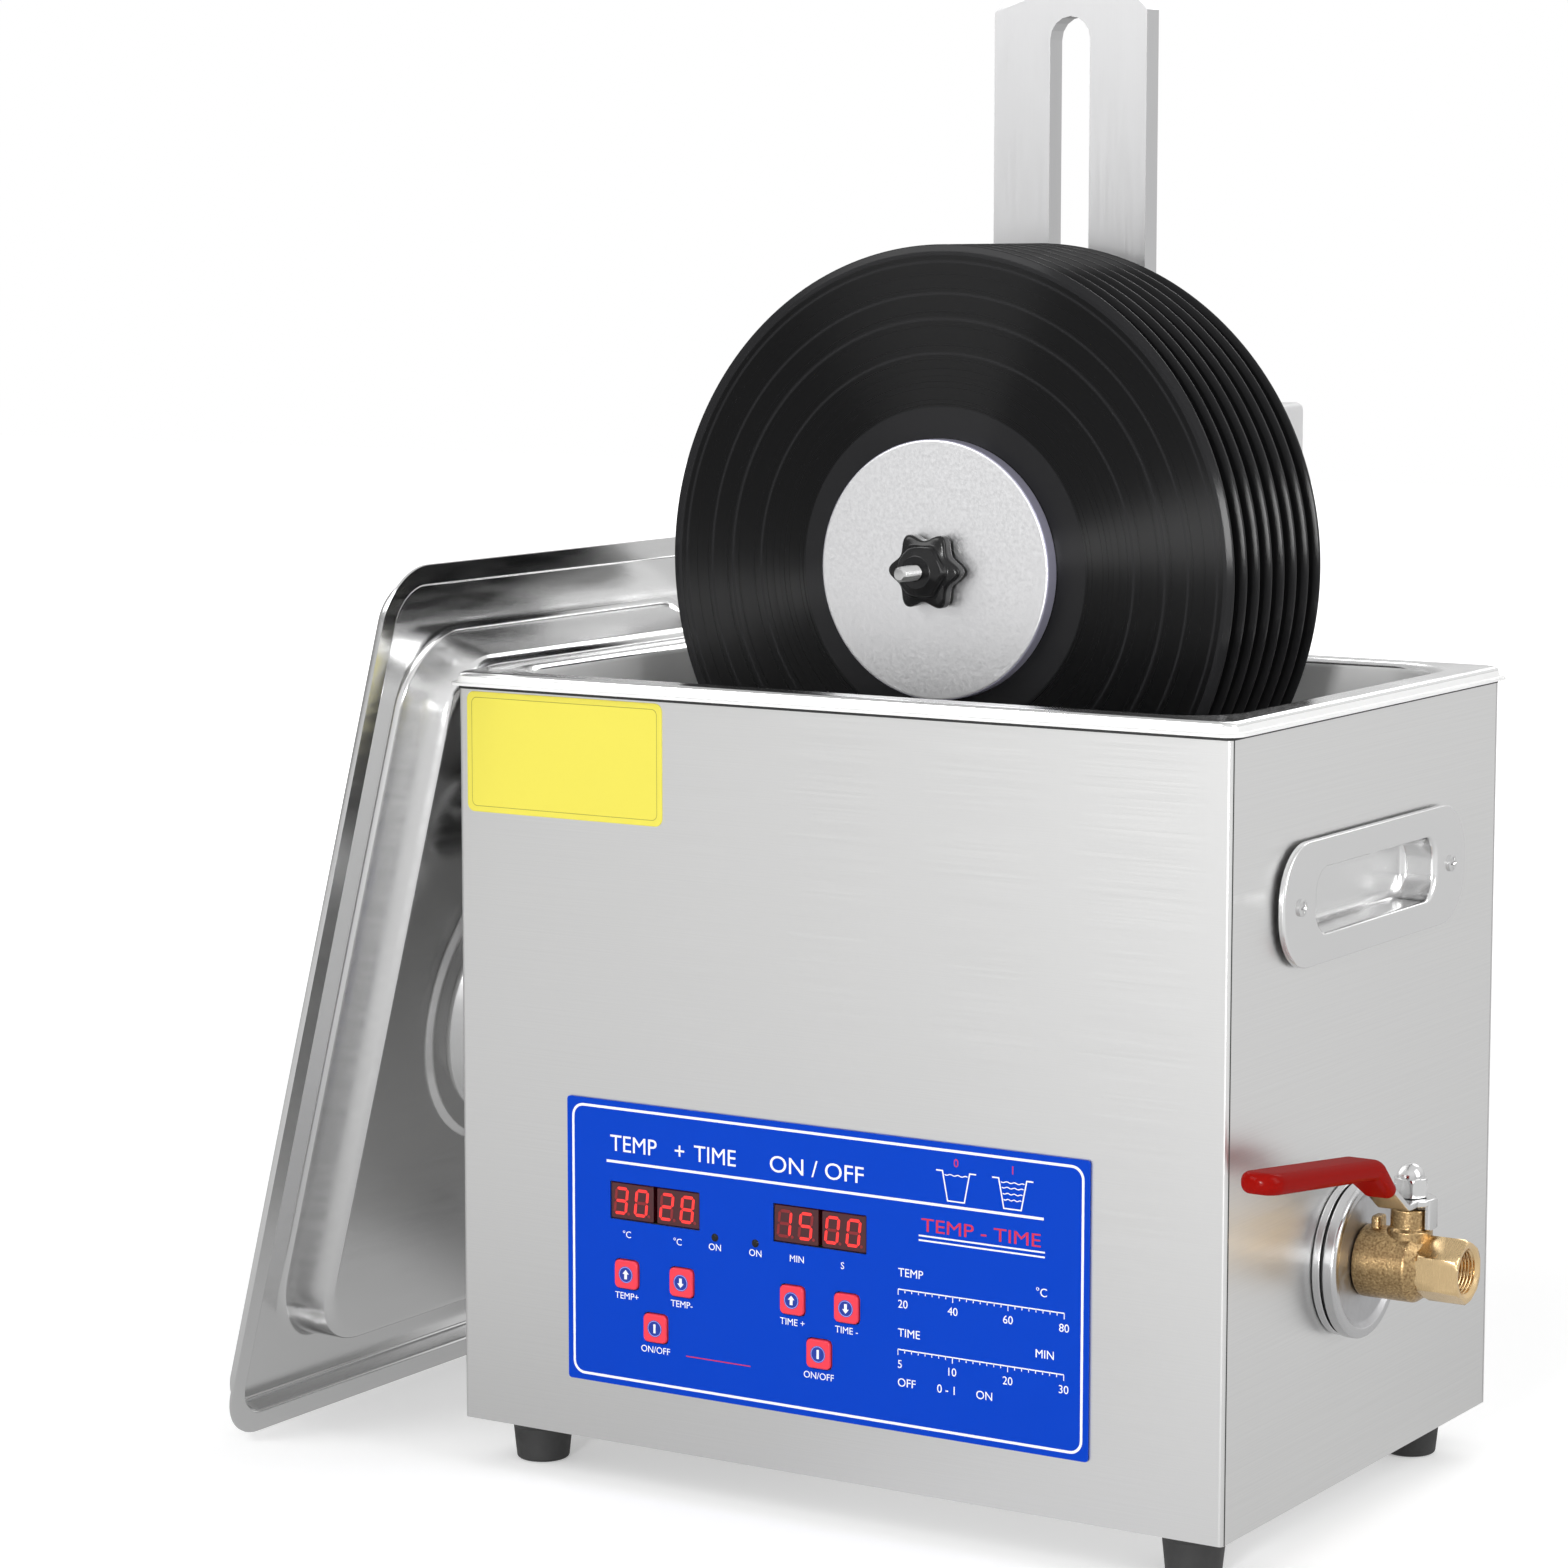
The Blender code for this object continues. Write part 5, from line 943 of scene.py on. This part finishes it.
step = washer_face - 0.9
profile = bend([(PIPE_RADIUS, washer_back), (29.0, washer_back), (29.0, step), (27.6, step),
                (27.6, washer_face), (PIPE_RADIUS, washer_face)], [0.8, 0.5, 0.0, 0.0])
stand_for("valve_washer", [(turned(profile, "X", VALVE_AXIS, 120), (
    turned_steel, dark_gap,
    lambda centres: (centres[:, 0] > step - 0.1) & (abs(off_valve(centres) - 27.85) < 0.85)))])
hollow = flange_face - 1.6
profile = bend([(PIPE_RADIUS, flange_back), (29.5, flange_back), (29.5, flange_face), (25.9, flange_face),
                (23.5, hollow), (PIPE_RADIUS, hollow)], [0.8, 1.7, 1.2, 1.6])
stand_for("valve_flange", [(turned(profile, "X", VALVE_AXIS, 120), (
    turned_steel, plain_aluminium, lambda centres: off_valve(centres) < 25.1))])
print("valve stem at x", round(STEM_X, 1), "outlet end", round(OUTLET, 1))

# %% [markdown]
# The lever is a cranked zinc strip under a cap nut. Its red grip is a rounded section carried along
# the same bent line, swelling quickly from the crank and closing in a soft round tip.

# %% Lever, grip and nut
HUB = valve_z + 23.5
LEVER_THICK, LEVER_HALF_WIDE = 2.4, 6.2
CRANK_START, CRANK_END, CRANK_RISE = 15.0, 43.0, 19.5
rise_of = math.tan(math.radians(6.8))
REACH = valve_y - Box("lever_grip").low[1]
STRIP_END = REACH - 3.0
lower_line = [(0.0, 0.0), (-CRANK_START, 0.0), (-CRANK_END, CRANK_RISE),
              (-STRIP_END, CRANK_RISE + (STRIP_END - CRANK_END) * rise_of)]
centre_line = bend(shifted_line(lower_line, -LEVER_THICK / 2), [6.0, 10.0], steps=10)


def carried(line, half_wide, half_thick, radius, steps=4):
    """A rounded section carried along a bent line of (along, up) points, square to the line.

    The point (a, b) of the section goes to line point + b x normal, with a across the lever.
    """
    run = np.gradient(line, axis=0)
    run /= np.linalg.norm(run, axis=1, keepdims=True)
    normal = np.stack([run[:, 1], -run[:, 0]], 1)
    rings = []
    for point, out_of, wide, thick in zip(line, normal, half_wide, half_thick):
        section = rounded(wide, thick, min(radius, thick * 0.98), steps)
        rings.append(np.hstack([section[:, :1], point + section[:, 1:] * out_of]) + (*stem, HUB))
    return skin(np.stack(rings))


strip = carried(centre_line, np.full(len(centre_line), LEVER_HALF_WIDE), np.full(len(centre_line), 1.18), 0.5)
hub_top = HUB + LEVER_THICK + 0.05
hub = bend([(3.8, HUB - 0.05), (9.5, HUB - 0.05), (9.5, hub_top), (3.8, hub_top)], [0.5, 0.5])
tab = [(rounded(1.1, 3.75, 0.5, 4) * shrink + stem + (8.35, 0.0), HUB + rise)
       for rise, shrink in ((-9.0, 0.8), (-8.5, 1.0), (1.0, 1.0), (2.0, 1.0))]
stand_for("valve_lever", [(strip, zinc), (turned(hub, "Z", stem, 72), zinc), (stacked(tab, "Z"), zinc)])

sleeve = np.vstack([[(-27.6, 10.0)], centre_line[centre_line[:, 0] < -28.2]])
last = sleeve[-1] + (sleeve[-1] - sleeve[-2]) / np.linalg.norm(sleeve[-1] - sleeve[-2]) * 2.7
sleeve = np.vstack([sleeve[:-1], sleeve[-2] + (last - sleeve[-2]) * np.linspace(0, 1, 60)[1:, None] ** 0.6])
travelled = np.r_[0.0, np.cumsum(np.linalg.norm(np.diff(sleeve, axis=0), axis=1))]
swell = 0.80 + 0.20 * np.clip(travelled / 3.0, 0, 1) ** 0.5


def rounding(reach):
    """How full the section is: the square root of 1 - (1 - s)^2, where s is the way from the tip over reach."""
    return np.sqrt(1 - (1 - np.clip((travelled[-1] - travelled) / reach, 0, 1)) ** 2)


wide = 8.05 * swell * (0.12 + 0.88 * rounding(8.0))
thick = 3.85 * swell * (0.40 + 0.60 * rounding(3.5))
stand_for("lever_grip", [(carried(sleeve, wide, thick, 3.4, 6), red_vinyl)])

foot = nut.low[2]
dome = [(5.2 * math.cos(t), foot + 7.0 + 5.3 * math.sin(t)) for t in np.linspace(0.0, 1.45, 9)]
cap = hexagon(13.5, [(5.9, foot), (6.3, foot + 0.1), (6.75, foot + 0.9), (6.75, foot + 5.9), (6.2, foot + 6.8),
                     (5.6, foot + 7.0)], 72)
stand_for("lever_nut", [(skin(np.concatenate([cap, rings_of(dome, 72)]) + (*stem, 0.0)), zinc)])
print("lever reaches", round(REACH, 1), "mm, nut top", round(nut.high[2], 1))

# %% [markdown]
# The panel's print is a thin layer on the film. Lines and frames are bands between two outlines, and
# words are flat letters given a little thickness; the words are plain ones that any such panel has.

# %% Print helpers
film = Box("control_overlay")
FILM_FRONT = film.low[1]
film_middle, film_half = film.middle[[0, 2]], film.half[[0, 2]]
INK = 0.03
SUNK = 0.01


def on_film(outline, finish, raised=INK, front=FILM_FRONT):
    """A flat shape of (x, z) points printed on a front, with its back just under it."""
    return stacked([(outline, front - raised), (outline, front + SUNK)], "Y"), finish


def frame_band(outer, inner, finish, raised=INK, front=FILM_FRONT):
    """The band between two outlines of equal count, printed on a front."""
    rows = [(outer, front + SUNK), (outer, front - raised), (inner, front - raised), (inner, front + SUNK)]
    return stacked(rows, "Y", "joined"), finish


def stroke(points, width, finish):
    """An open bent line of (x, z) points drawn with this width."""
    return on_film(np.vstack([shifted_line(points, width / 2), shifted_line(points, -width / 2)[::-1]]), finish)


def letters(text, height, left, bottom, finish, width=None, centred=False):
    """A word in capitals this high; its outline comes from the built-in typeface, made a mesh first."""
    curve = bpy.data.curves.new("word", "FONT")
    curve.body, curve.size, curve.resolution_u, curve.extrude = text, 1.0, 4, 0.01
    holder = bpy.data.objects.new("word", curve)
    scene.collection.objects.link(holder)
    bpy.context.view_layer.update()
    shape = bpy.data.meshes.new_from_object(holder.evaluated_get(bpy.context.evaluated_depsgraph_get()))
    work = bmesh.new()
    work.from_mesh(shape)
    bmesh.ops.remove_doubles(work, verts=work.verts, dist=1e-5)
    flat = np.array([vertex.co[:] for vertex in work.verts])
    faces = [[vertex.index for vertex in face.verts] for face in work.faces]
    work.free()
    bpy.data.objects.remove(holder)
    bpy.data.meshes.remove(shape)
    capital = 0.69
    scale = height / capital
    run = np.ptp(flat[:, 0])
    stretch = width / run if width else scale
    x = (flat[:, 0] - flat[:, 0].min()) * stretch + left - (run * stretch / 2 if centred else 0.0)
    y = np.where(flat[:, 2] > 0, FILM_FRONT - INK, FILM_FRONT + SUNK)
    return (np.stack([x, y, flat[:, 1] * scale + bottom], 1), faces), finish


def share_x(u):
    """A place across the housing's front, as a share of its height from its left side."""
    return u * (BODY_TOP - FOOT_HEIGHT)


def share_z(w):
    """A height on the housing's front, as a share of its height from its lower edge."""
    return FOOT_HEIGHT + w * (BODY_TOP - FOOT_HEIGHT)


def rule(left, right, level, width, finish=white_print):
    """A level line between two shares of the front."""
    return stroke([(share_x(left), share_z(level)), (share_x(right), share_z(level))], width, finish)


print("film", np.round(film_half * 2, 1), "front at y", round(FILM_FRONT, 2))

# %% [markdown]
# The film carries a white frame with rounded corners, a long rule under a heading, the names of the
# keys and windows, two small pictures of a tub and, on the right, plain scales for the two settings.

# %% Panel print
WORDS = (
    ("TEMP", 6.2, 0.243, 0.3965), ("+", 6.2, 0.345, 0.3965), ("TIME", 6.2, 0.375, 0.3965),
    ("OFF", 3.1, 0.685, 0.1395), ("0 - 1", 3.1, 0.743, 0.1395), ("ON", 3.1, 0.80, 0.1395),
)
SCALE_LEFT, TICK_STEP, TICKS, TICKS_PER_VALUE = 0.685, 0.01, 25, 8
SCALES = (("TEMP", "°C", ("20", "40", "60", "80"), 0.283), ("TIME", "MIN", ("5", "10", "20", "30"), 0.2045))
KEYS = {
    "button_temperature_up": ("TEMP+", "up"), "button_temperature_down": ("TEMP-", "down"),
    "button_heat": ("ON/OFF", "bar"), "button_time_up": ("TIME +", "up"),
    "button_time_down": ("TIME -", "down"), "button_timer": ("ON/OFF", "bar"),
}
UNDER_WINDOWS = ((78.0, "°C"), (101.2, "°C"), (118.1, "ON"), (136.2, "ON"), (154.6, "MIN"), (174.6, "S"))

ink = [frame_band(rounded(*(film_half - 2.3), 5.2, 8, film_middle),
                  rounded(*(film_half - 3.3), 4.2, 8, film_middle), white_print),
       rule(0.237, 0.895, 0.382, 1.0), rule(0.715, 0.897, 0.3395, 0.62), rule(0.715, 0.897, 0.3335, 0.62),
       rule(0.362, 0.462, 0.134, 0.4, red_print),
       letters("ON / OFF", 6.2, share_x(0.492), share_z(0.3965), white_print, 41.0),
       letters("TEMP - TIME", 4.9, share_x(0.719), share_z(0.3455), red_print, share_x(0.172)),
       letters("0", 3.0, share_x(0.769), share_z(0.4335), red_print, None, True),
       letters("1", 3.0, share_x(0.8505), share_z(0.4335), red_print, None, True)]
ink += [letters(word, height, share_x(u), share_z(w), white_print) for word, height, u, w in WORDS]

for left, right, levels in ((0.740, 0.798, (0.88,)), (0.821, 0.880, (0.3, 0.5, 0.7, 0.88))):
    middle, wide = share_x((left + right) / 2), share_x(right - left) / 2
    top, floor_line = share_z(0.427), share_z(0.389)
    ink.append(stroke([(middle + wide * side, level) for side, level in (
        (-1.0, top), (-0.68, top), (-0.42, floor_line), (0.42, floor_line), (0.68, top), (1.0, top))],
        0.5, white_print))
    for level in levels:
        reach = wide * (0.36 + 0.24 * level)
        across = np.linspace(-reach, reach, 25)
        height = floor_line + (top - floor_line) * level + 0.22 * np.sin(across / reach * 3 * np.pi)
        ink.append(stroke(np.stack([middle + across, height], 1), 0.34, white_print))

for title, unit, values, level in SCALES:
    ink += [letters(title, 3.1, share_x(SCALE_LEFT), share_z(level), white_print),
            letters(unit, 3.1, share_x(0.885), share_z(level), white_print),
            rule(SCALE_LEFT, 0.925, level - 0.017, 0.45)]
    ruler = share_z(level - 0.017)
    for tick in range(TICKS):
        x, long = share_x(SCALE_LEFT + TICK_STEP * tick), tick % TICKS_PER_VALUE == 0
        ink.append(stroke([(x, ruler), (x, ruler - (2.2 if long else 1.2))], 0.32, white_print))
    ink += [letters(value, 3.0, share_x(SCALE_LEFT + TICK_STEP * TICKS_PER_VALUE * place),
                    share_z(level - 0.041), white_print, None, place > 0)
            for place, value in enumerate(values)]

for name, (word, sign) in KEYS.items():
    x, z = Box(name).middle[[0, 2]]
    ink.append(letters(word, 2.55, x - 0.2, z - 9.8, white_print, None, True))
ink += [letters(word, 2.55, x, share_z(0.2815), white_print, None, True) for x, word in UNDER_WINDOWS]
make_piece("panel_print", ink, "cleaner")
print("panel print has", len(ink), "marks")

# %% [markdown]
# Each window is a dark red block with two digits behind its face. A digit's seven strokes are slim
# hexagons; the lit ones glow a little, the others only just show.

# %% Displays
SEGMENTS = {"0": "abcdef", "1": "bc", "2": "abdeg", "3": "abcdg", "5": "acdfg", "8": "abcdefg"}
SPOTS = {"a": ((-1, 1), (1, 1)), "b": ((1, 1), (1, 0)), "c": ((1, 0), (1, -1)), "d": ((-1, -1), (1, -1)),
         "e": ((-1, 0), (-1, -1)), "f": ((-1, 1), (-1, 0)), "g": ((-1, 0), (1, 0))}
DIGIT_HALF = np.array([2.5, 4.8])
BAR, DIGIT_GAP, DIGIT_LEAN, DIGIT_RAISED = 1.15, 0.18, 0.1, 0.05


def digit(value, x, z, front):
    """The seven strokes of a digit that leans right by a tenth of its height, and its dot."""
    strokes = []
    for key, ends in SPOTS.items():
        start, end = np.array(ends) * DIGIT_HALF
        run = (end - start) / np.linalg.norm(end - start)
        side, inset = np.array([-run[1], run[0]]) * BAR / 2, run * BAR / 2
        start, end = start + run * DIGIT_GAP, end - run * DIGIT_GAP
        bar = np.array([start, start + inset + side, end - inset + side, end, end - inset - side,
                        start + inset - side])
        bar[:, 0] += DIGIT_LEAN * bar[:, 1]
        strokes.append(on_film(bar + (x, z), lit_segment if key in SEGMENTS[value] else unlit_segment,
                               DIGIT_RAISED, front))
    dot = circle(0.62, 16, (x + DIGIT_HALF[0] + 0.9, z - DIGIT_HALF[1]))
    return strokes + [on_film(dot, unlit_segment, DIGIT_RAISED, front)]


HALF_GAP, WINDOW_BACK = 0.85, 5.2
FIRST_DIGIT, DIGIT_PITCH = -5.1, 9.3
for name, values in (("display_temperature", "3028"), ("display_timer", "1500")):
    box = Box(name)
    middle, half, front = box.middle[[0, 2]], box.half[[0, 2]], box.low[1]
    wide = (half[0] - HALF_GAP) / 2
    window = []
    for side, pair in ((-1, values[:2]), (1, values[2:])):
        centre = middle + (side * (HALF_GAP + wide), 0.0)
        rows = [(rounded(wide - inset, half[1] - inset, 0.5, 3, centre), front + depth)
                for inset, depth in ((0.25, 0.0), (0.0, 0.25), (0.0, WINDOW_BACK))]
        window.append((stacked(rows, "Y"), window_plastic))
        for place, value in enumerate(pair):
            window += digit(value, centre[0] + FIRST_DIGIT + place * DIGIT_PITCH, centre[1], front)
    rows = [(rounded(*half, 0.5, 3, middle), level) for level in (front + WINDOW_BACK - 0.2, box.high[1])]
    stand_for(name, window + [(stacked(rows, "Y"), window_plastic)])

lights = []
for x in (118.1, 136.2):
    dome = bend([(1.55, 0.02), (1.55, -0.12), (1.15, -0.12), (1.0, -0.45), (0.1, -0.5)], [0.1, 0.1, 0.5],
                steps=3, guard=0.02) + (0.0, FILM_FRONT)
    lights.append((turned(dome, "Y", (x, 104.6), 40, "caps"), black_gloss))
make_piece("panel_lights", lights, "cleaner")
print("displays and lights done")

# %% [markdown]
# A key is a soft square cap on a stem. Its picture is printed on it and moves with it: a dark disc in
# a pale ring, with an arrow up, an arrow down or an upright bar.

# %% Keys
ARROW = np.array([(0, 1.9), (-1.45, 0.25), (-0.6, 0.25), (-0.6, -1.75), (0.6, -1.75), (0.6, 0.25), (1.45, 0.25)])
DISC_RADIUS, RING_OUTER, RING_INNER = 3.25, 3.05, 2.8
SIGNS = {"up": ARROW, "down": ARROW * (1, -1), "bar": rounded(0.5, 1.75, 0.2, 3)}
for name, (word, sign) in KEYS.items():
    box = Box(name)
    place, half, front = box.middle[[0, 2]], box.half[[0, 2]], box.low[1]
    plan = bend([(1.0, 0.02), (0.35, 0.0), (0.0, 0.5), (0.0, 3.5)], [0.3, 0.45], steps=4, guard=0.05)
    rows = [(rounded(*(half - inset), max(2.0 - inset * 0.5, 0.5), 6, place), front + depth)
            for inset, depth in plan]
    stem_rows = [(2.0, front + 3.4), (2.0, box.high[1])]
    cap_face = front + 0.012
    stand_for(name, [
        (stacked(rows, "Y"), red_key), (turned(stem_rows, "Y", place, 24, "caps"), red_key),
        on_film(circle(DISC_RADIUS, 48, place), navy_print, 0.02, cap_face),
        frame_band(circle(RING_OUTER, 48, place), circle(RING_INNER, 48, place), pale_print, 0.035, cap_face),
        on_film(SIGNS[sign] + place, white_print, 0.045, cap_face)])
print("keys", len(KEYS))

# %% [markdown]
# A plain yellow plate with a thin line round it sits at the top left of the front. At the back, small
# screws hold the panel, the inlet and the motor's case. The inlet has the two usual signs beside its
# rocker, and the case a rubber grommet in the hole for its lead.

# %% Yellow plate and rear fittings
STICKER_FACE = -0.32
plate_centre = (share_x(0.1695), share_z(0.913))
plate_half = np.array([share_x(0.1557), share_x(0.0806)])
plan = bend([(1.0, STICKER_FACE), (0.0, STICKER_FACE), (0.0, 0.02)], [0.2], steps=3, guard=0.05)
sticker = [(rounded(*(plate_half - inset), 3.2, 8, plate_centre), level) for inset, level in plan]
make_piece("yellow_plate", [
    (stacked(sticker, "Y"), yellow_film),
    frame_band(rounded(*(plate_half - 2.2), 2.4, 8, plate_centre),
               rounded(*(plate_half - 2.42), 2.2, 8, plate_centre), olive_print, 0.01, STICKER_FACE),
], "cleaner")

SCREW_INSET, SCREW_UP, CASE_INSET = 12.0, 8.0, 7.0
inlet = Box("power_inlet")
inlet_face = inlet.high[1]
screws = [cross_screw(3.0, 1.4, (x, BODY_DEPTH, z), "Y")
          for x in (SCREW_INSET, BODY_WIDTH / 2, BODY_WIDTH - SCREW_INSET)
          for z in (FOOT_HEIGHT + SCREW_UP, BODY_TOP - SCREW_UP)]
screws += [cross_screw(1.9, 0.8, (x, inlet_face, inlet.middle[2]), "Y", 1, 0.6)
           for x in (inlet.low[0] + 3.2, inlet.high[0] - 3.6)]
make_piece("rear_screws", [(screw, zinc) for screw in screws], "cleaner")

sign_x = Box("rocker_switch").middle[0]
off_middle = (sign_x, inlet.low[2] + 2.6)
make_piece("inlet_signs", [
    on_film(rounded(0.28, 1.25, 0.1, 2, (sign_x, inlet.high[2] - 2.6)), white_print, -0.05, inlet_face),
    frame_band(circle(1.25, 40, off_middle), circle(0.85, 40, off_middle), white_print, -0.05, inlet_face),
], "cleaner")

case = Box("motor_case")
case_back = case.high[1]
make_piece("case_screws", [
    (cross_screw(2.4, 1.1, (x, case_back, z), "Y", 1, 0.7), zinc)
    for x in (case.low[0] + CASE_INSET, case.high[0] - CASE_INSET)
    for z in (case.low[2] + CASE_INSET, case.high[2] - CASE_INSET)
], "carriage")
lead_hole = (case.middle[0] + 44.8, case.low[2] + 18.5)
grommet = bend([(2.2, -1.9), (2.2, 1.6), (4.9, 1.6), (4.9, 0.02), (2.9, 0.02), (2.9, -1.9)],
               [0.6, 1.0, 0.0, 0.0]) + (0.0, case_back)
make_piece("case_grommet", [(turned(grommet, "Y", lead_hole, 48), black_rubber)], "carriage")
print("yellow plate", np.round(plate_half * 2, 1), "rear face at y", round(BODY_DEPTH, 1))
